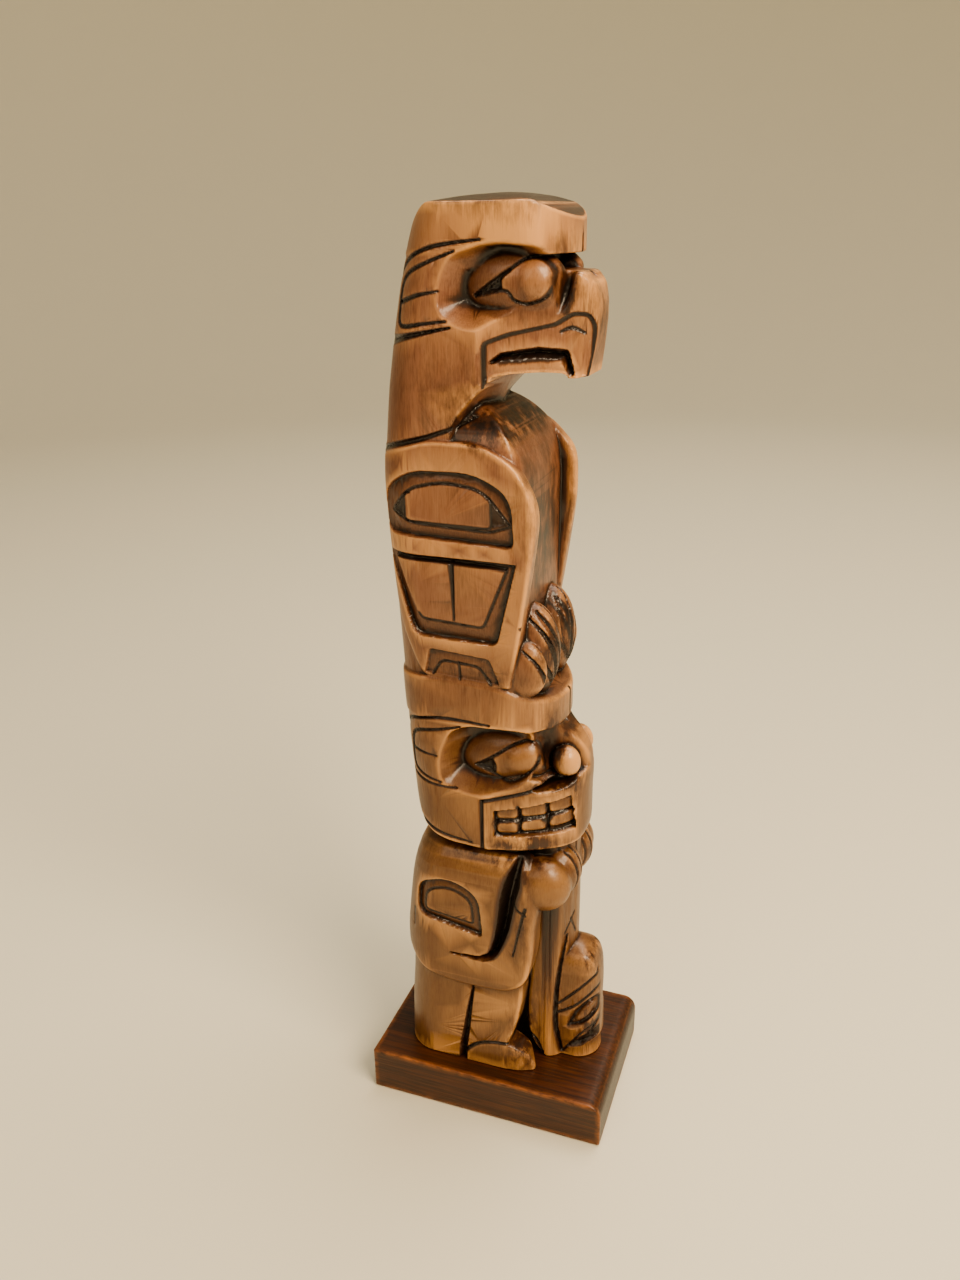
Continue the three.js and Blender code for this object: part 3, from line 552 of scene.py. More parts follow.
def bear_body(s):
    core = column(s, [
        (BASE, HALF["core"], -4.5, 3, 5), (96, HALF["core"], -5, 3, 5), (112, 18, -12, 6, 5),
        (122, 19.5, -14, 6, 5), (190, 20, -11, 6, 5),
    ])
    channel = common([np.abs(s.x) - 15.5, s.y + 9.5], 2.0)
    arm = common([
        column(s, [(56, HALF["arm"] - 0.8, -20, 5), (62, HALF["arm"], -20, 5), (92, HALF["arm"], -20, 5),
                   (101, 26.5, -20, 5), (106, 26.2, -19.6, 5, 0.2), (110, 25.6, -19, 6, 0.6),
                   (114, 24.2, -18, 6, 1.2), (117, 22.2, -16, 7, 2), (119.5, 19.5, -14, 7, 3)]),
        across(s, rounded([(45, 70.2, 0), (35.6, 68.4, 2), (27, 60.6), (14, 57.2), (-8, 57.8), (-15.6, 64),
                           (-18.4, 77), (-18.6, 90), (-21, 100, 0), (-16, 118, 4), (45, 118, 0)], 6)),
    ], 1.8)
    leg = common([
        column(s, [(BASE, 25.2, -16, 4), (30, HALF["leg"], -16, 4), (43, HALF["leg"], -16, 4),
                   (64, HALF["leg"] - 0.8, -16, 4, 0.8)]),
        across(s, rounded([(45, BASE - 5, 0), (-6, BASE - 5, 0), (-8, 32, 3), (-11.6, 42), (-14, 56),
                           (-14, 64, 0), (45, 64, 0)], 4)),
    ], 1.6)
    limbs = take_off(smooth_min(arm, leg, 0.6), channel, 1.5)
    foot = common([
        across(s, rounded([(10.4, BASE - 3), (9.6, 22.8), (5, 27.8), (-1, 30.2), (-9, 30.8), (-15, 27.4),
                           (-18.2, 21.6), (-19, BASE - 3)], 2)),
        upright(s, rounded([
            (-25.5, 14), (-25.5, -6), (-24.4, -13), (-21.6, -19.6), (-15, -15), (-12, 14),
        ], 2)),
    ], 1.4)
    slab = common([
        upright(s, rounded(SLAB_PLAN, 3)),
        across(s, rounded([(-5, 122, 0), (-29.4, 122, 0), (-30, 92), (-29.6, 70), (-28.8, 50), (-31, 26),
                           (-31.4, BASE - 5, 0), (-24.5, BASE - 5, 0), (-17.1, 22.1), (-12.9, 31),
                           (-12.8, 48), (-14.6, 66), (-16.6, 84), (-9, 96)], 5)),
    ], 1.4)
    palm = ellipsoid(s, (-17, -19.4, 105.6), (8.8, 10.9, 10.8))
    fingers = ellipsoid(s, (-8.4, -23.4, 107.5), (9.4, 8.6, 10.6))
    return join([core, limbs, foot, slab, small_head(s), smooth_min(palm, fingers, 0.8)], 0.5)


def small_head(s):
    post = column(s, [
        (BASE - 3, 9.8, -40, 9.7), (26, 10.2, -39.4, 10.1), (28, 10.6, -40.6, 10.5), (40, 11, -40.4, 10.9),
        (44, 10.4, -39.8, 10.3), (58, 10.4, -40.2, 10.3), (61, 11, -40.6, 10.9), (75, 10.4, -39.6, 10.3),
    ], back_round=1, back=-16)
    dome = common([
        across(s, rounded([(-10, 10), (-42, 10), (-42, 54), (-37.8, 66), (-31, 71.4), (-10, 76)], 8)),
        through(s, rounded(symmetric([(14, 10), (14, 50), (9.6, 66), (3, 71.6)]), 8)),
    ], 3.0)
    return common([post, dome], 3.0)


def bear_body_cuts(cut):
    cut.line(ARM_GROOVE, [2.0, 6.4, 6.2, 5.4, 4.4, 3.0, 1.8, 0.6], 4.2)
    cut.line(ARM_GROOVE[:-2], [3.0, 10.0, 9.6, 8.4, 6.0, 3.0], 1.3)
    cut.line([(-15.4, 99), (-13.8, 92), (-10.6, 76.4)], [1.3, 1.0, 0.5], 0.8)
    cut.line([(-9.6, 103), (-12, 98.4), (-15.6, 96)], [0.6, 1.2, 0.6], 0.7)
    cut.moat(ARM_OVOID, ARM_OVOID_FIELD, 2.1, 0.6, 0.5)
    cut.line(list(ARM_OVOID_FIELD) + [ARM_OVOID_FIELD[0]], [0.9], 0.7, smooth=False)
    cut.line(SHIN_CREASE, [0.8, 2.2, 3.0, 3.6], 2.6)
    cut.line([(10.6, 20), (9.8, 23.6), (5, 28.6), (-1, 31.2), (-9, 31.8), (-15.6, 28.2), (-19, 21)],
             [1.2, 1.6, 1.6, 1.2], 1.2)
    cut.line([(30.2, 88), (30.4, 80)], [0.8, 0.3], 0.4)


def small_head_cuts(cut):
    cut.line([(-26.6, 77), (-24.8, 62), (-23.8, 48), (-23.9, 34), (-26, 21)], [0.8, 1.6, 1.8, 1.4], 1.3)
    cut.line([(-24.6, 45.4), (-26.5, 47), (-34, 55.2), (-41.4, 62.2)], [1.0], 0.8)
    cut.line([(-24.6, 41), (-27, 42.4), (-31.4, 45.6), (-42, 56.0)], [1.0], 0.8)
    eye = rounded([(-27.6, 33), (-28.8, 41), (-35, 48), (-40.6, 50), (-40.2, 42), (-34, 35)], 3)
    cut.panel(eye, 1.8, 1.4, 0.3)
    eyeball = rounded([(-30.6, 37.6), (-34, 43.6), (-38.6, 46.4), (-38, 41.6), (-34.6, 38.2)], 2)
    cut.swell(eyeball, 1.4, 1.4)
    cut.line([(-28.8, 35), (-32.4, 42.4), (-38.6, 47.4), (-39, 41.8), (-34.4, 37), (-28.8, 35)], [0.9], 0.7)
    cut.line([(-40.6, 51), (-41, 43), (-38.6, 35), (-35.4, 30)], [1.4, 1.2, 0.8], 0.9)
    cut.panel([(-27.6, 23.6), (-34, 30.4), (-42, 35), (-42, 30), (-34, 24.8)], 2.0, 1.2, 0.8)
    cut.line([(-26.6, 21), (-34, 32), (-42, 38)], [0.8], 0.6)


def front_cuts(cut):
    """Cuts in the pole's front, drawn in front view."""
    bird_feet_cuts(cut)
    cut.line([(0, 320), (0, 331)], [2.6, 0.8], 1.6)
    cut.line([(0, 166), (0, 181)], [1.2, 1.0], 0.9)
    for x in (-3.2, -7.2, -11.0):
        cut.line([(x - 0.6, 120), (x - 0.4, 108), (x + 0.2, 98)], [0.8, 1.3, 1.0], 1.1)
    cut.line([(-6, 84), (-3, 76)], [0.8, 0.8], 0.5)
    cut.line([(-4, 86), (-9, 78)], [0.8, 0.6], 0.5)
    cut.line([(-9, 56), (-4, 62)], [0.8, 0.5], 0.5)


# ---- Fine cutting ---------------------------------------------------------------------------------
class Cutting:
    """Depths of cut on one set of faces, drawn in side or front view, and the dark stain they hold."""

    def __init__(self, across_axis):
        self.u = across_axis[:, None]
        self.z = ZS[None, :]
        self.depth = np.zeros((len(across_axis), len(ZS)), np.float32)
        self.stain = np.zeros_like(self.depth)

    def line(self, path, widths, depth, smooth=True):
        """A V-cut whose width changes along it, with stain that spreads a little past its edges."""
        path = flowing(path) if smooth and len(path) > 2 else np.asarray(path, float)
        self.depth += depth * stroke_profile(path, widths, self.u, self.z)
        soft = stroke_profile(path, np.asarray(widths) * 1.1 + 0.5, self.u, self.z)
        self.stain = np.maximum(self.stain, np.minimum(soft * 1.7, 1))

    def panel(self, outline, depth, wall, stain=0.0):
        """Sinks the wood inside an outline, with a wall of a given width."""
        edge = outline_distance(np.asarray(outline, float), self.u, self.z)
        self.depth = np.maximum(self.depth, depth * np.clip(-edge / wall, 0, 1))
        self.stain = np.maximum(self.stain, stain * np.clip(0.6 - edge / 0.8, 0, 1))

    def wipe(self, outline, share):
        """Rubs stain off inside an outline."""
        edge = outline_distance(np.asarray(outline, float), self.u, self.z)
        self.stain *= 1 - share * np.clip(0.5 - edge / 0.6, 0, 1)

    def swell(self, outline, height, ease):
        """Leaves a rounded swelling in a panel."""
        edge = outline_distance(np.asarray(outline, float), self.u, self.z)
        share = np.clip(-edge / ease, 0, 1)
        self.depth -= height * np.sqrt(share * (2 - share))

    def moat(self, outer, inner, depth, shelf, stain):
        """A ring deepest beside its outer wall, which rises to a shelf that holds the inner field."""
        rim = outline_distance(outer, self.u, self.z)
        field = outline_distance(inner, self.u, self.z)
        share = np.clip(-rim, 0, None) / (np.clip(-rim, 0, None) + np.clip(field, 0, None) + 1e-3)
        ring = shelf + (depth - shelf) * (1 - share) ** 0.8
        wall = np.clip(-rim / 0.6, 0, 1)
        self.depth = np.maximum(self.depth, wall * np.where(field < 0, shelf, ring))
        dark = np.where(field < 0, 0, stain * (0.5 + 0.5 * (1 - share) ** 1.5))
        self.stain = np.maximum(self.stain, dark * np.clip(0.5 - rim / 0.8, 0, 1))


def box_blur(field, radius):
    """A mean over a cube, run twice so that it falls off smoothly."""
    reach = max(int(round(radius / STEP)), 1)
    for _ in range(2):
        for axis in range(3):
            padding = [(0, 0)] * 3
            padding[axis] = (reach + 1, reach)
            total = np.cumsum(np.pad(field, padding, mode="edge"), axis=axis, dtype=np.float32)
            ahead = [slice(None)] * 3
            behind = [slice(None)] * 3
            ahead[axis] = slice(2 * reach + 1, None)
            behind[axis] = slice(None, -(2 * reach + 1))
            field = (total[tuple(ahead)] - total[tuple(behind)]) / (2 * reach + 1)
    return field


def rise(values, start, reach):
    """0 up to the start, then a straight rise that comes to 1 after the reach."""
    return np.clip((values - start) / reach, 0, 1)


def fill_block(storeys, far_side, block=None):
    """Joins each storey's wood to the block. A storey is its lowest and highest z, and its makers."""
    if block is None:
        block = np.full((len(XS), len(YS), len(ZS)), FAR_OUTSIDE, np.float32)
    for low, high, makers in storeys:
        storey = Storey(low, high, far_side)
        for make in makers:
            block[:, :, storey.span] = smooth_min(block[:, :, storey.span], make(storey), 0.6)
    return block


def carve_block():
    """The finished wood, near half and far half, and the stain that its side and front cuts hold."""
    alike = [
        (BASE - MARGIN, 128, [bear_body]), (116, 194, [bear_head]), (176, 218, [bird_feet]),
        (252, TOP + MARGIN, [bird_head]),
    ]
    wings = [(165, 290, [bird_body])]
    near = fill_block(alike, False)
    far = fill_block(wings, True, near.copy())
    near = fill_block(wings, False, near)
    sides, fronts = Cutting(YS), Cutting(XS)
    for cuts in (bird_head_cuts, bird_body_cuts, bear_head_cuts, bear_body_cuts, small_head_cuts):
        cuts(sides)
    front_cuts(fronts)
    return [cut_faces(half, sides, fronts) for half in (near, far)], sides.stain, fronts.stain


def cut_faces(block, sides, fronts):
    """Sinks the side cuts where the wood faces sideways and the front cuts where it faces forwards."""
    slope_x, slope_y, slope_z = np.gradient(block, STEP)
    length = np.sqrt(slope_x ** 2 + slope_y ** 2 + slope_z ** 2) + 1e-4
    block += rise(-slope_x / length, 0.25, 0.3) * sides.depth[None]
    block += rise(-slope_y / length, 0.35, 0.3) * fronts.depth[:, None, :]
    return smooth_max(block, np.broadcast_to(BASE - ZS[None, None, :], block.shape), 0.4)


def trilinear(field, points):
    """Reads the whole block's field at points in millimetres."""
    places = (points - np.array([XS[0], YS[0], ZS[0]])) / STEP
    places = np.clip(places, 0, np.array(field.shape) - 1.001)
    low = places.astype(int)
    t = places - low
    value = 0
    for corner in np.ndindex(2, 2, 2):
        weight = np.prod(np.where(corner, t, 1 - t), axis=1)
        index = low + corner
        value = value + weight * field[index[:, 0], index[:, 1], index[:, 2]]
    return value


# When the mesh is thinned, a kept point resists it, and so does one point in each cell of plain wood.
CELL = 2.6
KEPT_WEIGHT = 0.001
WEIGHT_SHARE = 0.00001


def mesh_of_block(block, name, most_faces, keep):
    """Turns the field into a closed mesh in metres. Triangles stay small round the points that keep picks."""
    grid = openvdb.FloatGrid(background=FAR_OUTSIDE)
    grid.copyFromArray(block)
    points, _, quads = grid.convertToPolygons(isovalue=0.0, adaptivity=0.0)
    points = points * STEP + np.array([XS[0], YS[0], ZS[0]])
    mesh = bpy.data.meshes.new(name)
    mesh.from_pydata((points * MM).tolist(), [], quads.tolist())
    mesh.validate()
    piece = bpy.data.objects.new(name, mesh)
    bpy.context.scene.collection.objects.link(piece)
    spare = piece.vertex_groups.new(name="plain wood")
    kept = keep(points)
    cells = np.floor(points / CELL).astype(np.int64) @ [1000000, 1000, 1]
    kept[np.unique(cells, return_index=True)[1]] = True
    spare.add(np.flatnonzero(~kept).tolist(), 1.0, "REPLACE")
    spare.add(np.flatnonzero(kept).tolist(), KEPT_WEIGHT, "REPLACE")
    thin = piece.modifiers.new("Fewer faces", "DECIMATE")
    thin.ratio = min(1.0, most_faces / (2 * len(quads)))
    thin.vertex_group = spare.name
    thin.vertex_group_factor = WEIGHT_SHARE
    even = piece.modifiers.new("Even shading", "WEIGHTED_NORMAL")
    even.keep_sharp = False
    evaluated = piece.evaluated_get(bpy.context.evaluated_depsgraph_get())
    thinned = bpy.data.meshes.new_from_object(evaluated)
    piece.modifiers.clear()
    piece.vertex_groups.clear()
    piece.data = thinned
    thinned.name = name
    return piece


# ---- Stain, wear, painted shade and painted highlights --------------------------------------------
# Old stain, and painted shade in gaps, creases and below the palm: centre, reach and strength. Both sides are
# alike.
STAIN_AND_SHADE_PLACES = [
    ((0, -2, 344), (26, 30, 4.5), 1.5), ((0, -15, 246), (19, 7, 38), 1.15),
    ((17, 1, 274), (10, 12, 6), 1.5), ((25, 8, 284), (5, 16, 12), 0.5),
    ((0, -33, 306), (9, 6, 15), 0.55), ((18, -8, 312), (6, 20, 9), 0.5),
    ((10, -22, 198), (14, 9, 16), 0.75), ((11, -19.5, 159), (5.5, 5, 10), 1.7),
    ((5, -24, 165), (5, 4, 4), 1.0), ((18, -4, 118), (10, 22, 4.5), 1.1),
    ((6, -31, 108), (10, 5, 12), 0.6), ((4, -38, 66), (8, 7, 6), 0.7),
    ((9, -38, 38), (6, 8, 13), 0.7), ((20, -13, 34), (10, 7, 15), 0.9),
    ((20, 5, 191), (8, 16, 5), 0.9), ((12, -26, 322), (10, 4, 6), 0.8),
    ((14, -26, 133), (8, 9, 8), 0.4), ((23, -10, 262), (4, 9, 8), 0.4),
    ((16, -24, 317), (8, 3.2, 9), 1.3), ((15, -25, 147.5), (9, 9, 2.6), 1.3),
    ((24, -14, 97), (4, 3.5, 22), 0.8), ((20, -14, 124), (9, 18, 3.5), 0.9),
    ((18.5, -14, 60), (3.5, 3, 45), 1.1),
]
# Gaps between parts and places under them, where shade is painted in as dark stain.
SHADED_GAPS = [
    ((11, -20, 160), (4.5, 4.5, 9), 1.0), ((4, -24.5, 165.5), (5, 3.5, 2.6), 0.7),
    ((16, -25, 319), (7, 2.8, 8), 0.8), ((17, -27, 148.6), (7, 7, 1.8), 0.8),
    ((18, -6, 119.4), (9, 20, 2.6), 0.7), ((20, 5, 189.5), (7, 17, 2.2), 0.8),
    ((14, -17, 184), (8, 8, 3), 0.9), ((14, -6, 327), (10, 18, 2.4), 0.7),
    ((18, -8, 279), (8, 9, 3), 0.7),
]
# Painted highlights: pale patches where the light falls on the brows, beak, cheek, wing edge, shoulder, palm,
# noses and small head.
PAINTED_HIGHLIGHTS = [
    ((24, -12, 334), (8, 22, 7), 1.25), ((6, -29, 312), (9, 6, 9), 1.1), ((23, -16, 178), (8, 12, 6), 0.5),
    ((24, -18, 255), (3, 3, 16), 0.7), ((25, -10, 118), (7, 6, 4), 0.8), ((10, -29, 155), (6, 6, 6), 0.7),
    ((24, -12, 306), (5, 18, 3), 0.5), ((22, -19, 108), (8, 6, 6), 0.25), ((8, -37, 68), (6, 6, 5), 0.6),
]

# A cut holds stain from this strength up. Side cuts are looked for away from the pole's middle, and front
# cuts only near its front.
STAINED = 0.05
SIDES_FROM = 7.5
FRONT_TO = -12
# Reaches over which the wood round a point is weighed. A flat face has half of it, a hollow has more and
# a ridge has less.
CLOSE, WIDE, BROAD = 0.8, 2.6, 6.5
# The stained dome on the crown: from which height up, and how dark.
DOME_FROM = 333
DOME_STAIN = 0.86


def folded(points, side):
    """The points with both sides of the pole laid on one: -1 for the near side, 1 for the far side."""
    return np.column_stack([side * np.abs(points[:, 0]), points[:, 1:]]).astype(float)


def place_amount(points, places):
    """How strongly the places act on each point, from 0."""
    amount = np.zeros(len(points), np.float32)
    for centre, reach, strength in places:
        away = (((folded(points, 1) - centre) / reach) ** 2).sum(axis=1)
        amount = np.maximum(amount, strength * np.exp(-0.7 * away))
    return amount


class StainMap:
    """Looks up how much stain the cuts hold at points on the wood."""

    def __init__(self, sides, fronts):
        self.sides = np.broadcast_to(sides[None], (2,) + sides.shape)
        self.fronts = np.broadcast_to(fronts[:, None], (len(fronts), 2, fronts.shape[1]))

    def near_cut(self, points):
        """True on the row of points just outside a stained cut."""
        found = np.zeros(len(points), bool)
        for held, axes, here in (
            (self.sides, (1, 2), np.abs(points[:, 0]) > SIDES_FROM),
            (self.fronts, (0, 2), points[:, 1] < FRONT_TO),
        ):
            most = held
            for axis in axes:
                for shift in (-1, 1):
                    most = np.maximum(most, np.roll(held, shift, axis))
            row = (held < STAINED) & (most >= STAINED)
            found |= (trilinear(row.astype(np.float32), folded(points, -1)) > 0.5) & here
        return found

    def at(self, points, normals):
        """The stain of the side cuts on wood that faces sideways, and of the front cuts on the front."""
        near = folded(points, -1)
        sideways = rise(np.abs(normals[:, 0]), 0.12, 0.25)
        forwards = rise(-normals[:, 1], 0.2, 0.3)
        return np.maximum(trilinear(self.sides, near) * sideways, trilinear(self.fronts, near) * forwards)


def paint_stain_and_light(piece, block, slots):
    """Writes three numbers at every point: how much stain and painted shade it holds, how worn and painted
    pale it is, and how much old stain and painted shade the listed places give it.
    """
    mesh = piece.data
    flat = np.empty(len(mesh.vertices) * 3, np.float32)
    mesh.vertices.foreach_get("co", flat)
    points = flat.reshape(-1, 3) / MM
    mesh.vertex_normals.foreach_get("vector", flat)
    normals = flat.reshape(-1, 3)
    solid = np.clip(0.5 - block / (2 * STEP), 0, 1)
    close, wide, broad = (trilinear(box_blur(solid, reach), points) for reach in (CLOSE, WIDE, BROAD))
    # Hollows hold dark stain; the wider reaches also paint shade under the beak and brows, and the listed
    # gaps add painted shade.
    hollow_stain_and_shade = 0.5 * rise(close, 0.53, 0.16) + 0.8 * rise(wide, 0.54, 0.18) + 0.6 * rise(broad, 0.57, 0.2)
    hollow_stain_and_shade = np.maximum(hollow_stain_and_shade, np.clip(place_amount(points, SHADED_GAPS) * 1.5 - 0.35, 0, 0.85))
    dome = rise(normals[:, 2], 0.7, 0.12) * rise(points[:, 2], DOME_FROM, 1) * rise(close, 0.42, 0.05)
    cuts = np.maximum(slots.at(points, normals), DOME_STAIN * dome)
    stain = np.clip(np.maximum(hollow_stain_and_shade, cuts) + 0.25 * hollow_stain_and_shade * cuts, 0, 1)
    # Ridges are rubbed pale and given painted highlights, and the listed painted highlights are added.
    ridge = rise(0.47 - close, 0, 0.14) + 0.8 * rise(0.45 - wide, 0, 0.14)
    worn = np.clip(ridge + place_amount(points, PAINTED_HIGHLIGHTS), 0, 1.4) * np.clip(1 - stain * 2, 0, 1)
    # Old stain, and painted shade in the gaps and creases.
    patina_and_shade = np.clip(place_amount(points, STAIN_AND_SHADE_PLACES), 0, 1)
    for name, values in (("stain", stain), ("worn", worn), ("patina_and_shade", patina_and_shade)):
        layer = mesh.attributes.new(name, "FLOAT", "POINT")
        layer.data.foreach_set("value", values.astype(np.float32))


# ---- Materials ------------------------------------------------------------------------------------
def linear(colour):
    """A colour written as sRGB hex, as the four linear numbers a shader wants."""
    parts = [int(colour[i:i + 2], 16) / 255 for i in (0, 2, 4)]
    return tuple(p / 12.92 if p <= 0.04045 else ((p + 0.055) / 1.055) ** 2.4 for p in parts) + (1.0,)


def add(tree, kind, inputs=(), result=0, **settings):
    """Adds a node and returns one of its outputs. An input is a number or the socket that feeds it."""
    node = tree.nodes.new(kind)
    for name, value in settings.items():
        setattr(node, name, value)
    for place, value in inputs.items() if isinstance(inputs, dict) else enumerate(inputs):
        if isinstance(value, bpy.types.NodeSocket):
            tree.links.new(value, node.inputs[place])
        else:
            node.inputs[place].default_value = value
    return node.outputs[result] if node.outputs else None


# Node kinds and settings that are used often. A colour mix has its factor at input 0, its colours at 6 and
# 7, and its result at output 2.
MATH = "ShaderNodeMath"
VECTOR_MATH = "ShaderNodeVectorMath"
COLOUR_MIX = "ShaderNodeMix"
PLAIN = {"result": 2, "data_type": "RGBA"}
TINTED = {"result": 2, "data_type": "RGBA", "blend_type": "MULTIPLY"}
LEVELS = {"operation": "MULTIPLY_ADD", "use_clamp": True}


def new_material(name):
    """A material with an empty node tree."""
    material = bpy.data.materials.new(name)
    material.use_nodes = True
    material.node_tree.nodes.clear()
    return material


def finish_material(material, surface):
    """Ends a material's tree with its shader, whose inputs are given."""
    shader = add(material.node_tree, "ShaderNodeBsdfPrincipled", surface)
    add(material.node_tree, "ShaderNodeOutputMaterial", {"Surface": shader})
    return material


def patches(tree, place, per_mm, detail, roughness, stretch=(1, 1, 1), seed=0.0):
    """Random patches from 0 to 1, so many a millimetre before they are stretched along the grain."""
    grown = [per_mm / MM * s for s in stretch]
    mapped = add(tree, "ShaderNodeMapping", {"Vector": place, "Scale": grown, "Location": (seed, seed, seed)})
    return add(tree, "ShaderNodeTexNoise", {
        "Vector": mapped, "Scale": 1.0, "Detail": detail, "Roughness": roughness,
    })


# Tints that the grain gives the wood, which its colour is multiplied by.
STREAK_TINT, FIBRE_TINT = "b98a5c", "c9a27c"
FIR_FIBRE_TINT, FIR_CLOUD_TINT, END_GRAIN_TINT = "9a7a64", "b08c74", "8f7a66"
# Heights in metres between which the lower wood's colour turns into the upper wood's.
LOW_WOOD_TO, HIGH_WOOD_FROM = 0.13, 0.24


def carving_wood(colours):
    """Alder, antiqued with dark stain in the cuts and rubbed back, under satin varnish, with shade painted
    into its hollows, gaps and lower part and highlights painted on its ridges and brows.
    """
    material = new_material("Antiqued alder, satin varnish")
    tree = material.node_tree
    place = add(tree, "ShaderNodeTexCoord", result="Object")
    height = add(tree, "ShaderNodeSeparateXYZ", (place,), result=2)
    stain, worn, patina_and_shade = (
        add(tree, "ShaderNodeAttribute", result="Fac", attribute_name=name)
        for name in ("stain", "worn", "patina_and_shade")
    )
    fibre = patches(tree, place, 2.2, 4, 0.65, (1, 1, 0.09))
    streak = patches(tree, place, 0.16, 4, 0.6, (1, 1, 0.10), 3)
    blotch = patches(tree, place, 0.045, 4, 0.6, (1, 1, 0.55), 7)
    spots = patches(tree, place, 0.22, 5, 0.65, (1, 1, 0.45), 11)
    dents = patches(tree, place, 0.35, 3, 0.5, (1, 1, 0.5), 5)
    # Bare wood: warmer and paler up the pole, its darker lower part being painted shade; darker along its
    # streaks and fibres; pale where it is rubbed and where highlights are painted.
    up = add(tree, "ShaderNodeMapRange", {
        "Value": height, "From Min": LOW_WOOD_TO, "From Max": HIGH_WOOD_FROM,
    }, interpolation_type="SMOOTHSTEP")
    bare = add(tree, COLOUR_MIX, {0: up, 6: linear(colours.low_wood_and_shade), 7: linear(colours.high_wood)}, **PLAIN)
    streaks = add(tree, MATH, (streak, 1.3, -0.5), **LEVELS)
    bare = add(tree, COLOUR_MIX, {0: streaks, 6: bare, 7: linear(STREAK_TINT)}, **TINTED)
    fibres = add(tree, MATH, (fibre, 2.2, -0.95), **LEVELS)
    bare = add(tree, COLOUR_MIX, {0: fibres, 6: bare, 7: linear(FIBRE_TINT)}, **TINTED)
    # Ridges take the worn edge colour where rubbed, and the painted highlights take it too.
    rubbed = add(tree, MATH, (worn, 0.62), operation="MULTIPLY", use_clamp=True)
    bare = add(tree, COLOUR_MIX, {0: rubbed, 6: bare, 7: linear(colours.worn_edge_and_highlight)}, **PLAIN)
    # Stain and painted shade: what the cuts and hollows hold, or the listed places' spots of old stain and
    # painted shade, uneven in blotches and along the fibres.
    mottle = add(tree, MATH, (spots, 3.2, -0.95), **LEVELS)
    mottle = add(tree, MATH, (patina_and_shade, mottle), operation="MULTIPLY")
    held = add(tree, MATH, (stain, mottle), operation="MAXIMUM")
    uneven = add(tree, MATH, (blotch, 0.9, -0.45), operation="MULTIPLY_ADD")
    held = add(tree, MATH, (uneven, 0.42, held), operation="MULTIPLY_ADD")
    threads = add(tree, MATH, (fibre, 0.5), operation="SUBTRACT")
    held = add(tree, MATH, (threads, 0.35, held), **LEVELS)
    thin = add(tree, "ShaderNodeMapRange", {"Value": held, "From Min": 0.10, "From Max": 0.55})
    colour = add(tree, COLOUR_MIX, {0: thin, 6: bare, 7: linear(colours.thin_stain_and_shade)}, **PLAIN)
    deep = add(tree, "ShaderNodeMapRange", {"Value": held, "From Min": 0.45, "From Max": 0.95})
    colour = add(tree, COLOUR_MIX, {0: deep, 6: colour, 7: linear(colours.deep_stain_and_shade)}, **PLAIN)
    lift = add(tree, MATH, (fibre, 0.25, dents), operation="MULTIPLY_ADD")
    return finish_material(material, {
        "Base Color": colour,
        "Roughness": add(tree, MATH, (fibre, 0.14, 0.34), operation="MULTIPLY_ADD"),
        "Coat Weight": 0.35,
        "Coat Roughness": 0.22,
        "Normal": add(tree, "ShaderNodeBump", {"Height": lift, "Strength": 0.35, "Distance": 0.0003}),
    })


def plinth_wood(colours):
    """Red-brown stained fir with the grain along the plinth, rubbed pale at its edges."""
    material = new_material("Red-brown stained fir")
    tree = material.node_tree
    place = add(tree, "ShaderNodeTexCoord", result="Object")
    rings = patches(tree, place, 0.22, 3, 0.5, (1, 0.05, 1.6), 2)
    fibre = patches(tree, place, 1.2, 4, 0.6, (1, 0.04, 1), 9)
    cloud = patches(tree, place, 0.05, 3, 0.5, (1, 1, 1), 4)
    nicks = patches(tree, place, 0.5, 3, 0.6, (1, 0.4, 1), 6)
    # Growth rings: bands of even steps through the slow noise.
    turns = add(tree, MATH, (rings, 46.0), operation="MULTIPLY")
    waves = add(tree, MATH, (turns,), operation="SINE")
    lines = add(tree, MATH, (waves, 0.5, 0.5), operation="MULTIPLY_ADD")
    light = add(tree, MATH, (lines, 0.65), operation="MULTIPLY")
    colour = add(tree, COLOUR_MIX, {
        0: light, 6: linear(colours.plinth_dark), 7: linear(colours.plinth_light),
    }, **PLAIN)
    facing = add(tree, "ShaderNodeTexCoord", result="Normal")
    along = add(tree, "ShaderNodeSeparateXYZ", (facing,), result=1)
    along = add(tree, MATH, (along,), operation="ABSOLUTE")
    for share, tint in (
        (add(tree, MATH, (fibre, 1.8, -0.6), **LEVELS), FIR_FIBRE_TINT),
        (add(tree, MATH, (cloud, 1.5, -0.4), **LEVELS), FIR_CLOUD_TINT),
        (add(tree, MATH, (along, 4.0, -2.8), **LEVELS), END_GRAIN_TINT),
    ):
        colour = add(tree, COLOUR_MIX, {0: share, 6: colour, 7: linear(tint)}, **TINTED)
    edge = add(tree, "ShaderNodeAttribute", result="Fac", attribute_name="rubbed")
    rub = add(tree, MATH, (nicks, 2.4, -0.75), **LEVELS)
    rub = add(tree, MATH, (edge, rub), operation="MULTIPLY", use_clamp=True)
    colour = add(tree, COLOUR_MIX, {0: rub, 6: colour, 7: linear(colours.plinth_edge)}, **PLAIN)
    lift = add(tree, MATH, (lines, 0.3, fibre), operation="MULTIPLY_ADD")
    return finish_material(material, {
        "Base Color": colour,
        "Roughness": add(tree, MATH, (fibre, 0.15, 0.36), operation="MULTIPLY_ADD"),
        "Coat Weight": 0.25,
        "Coat Roughness": 0.25,
        "Normal": add(tree, "ShaderNodeBump", {"Height": lift, "Strength": 0.3, "Distance": 0.0003}),
    })


# ---- Plinth ---------------------------------------------------------------------------------------
# The board's faces are made of squares of about this width in millimetres.
SQUARE = 1.2
EDGE_ROUND = 0.7
RUBBED_REACH = 2.2


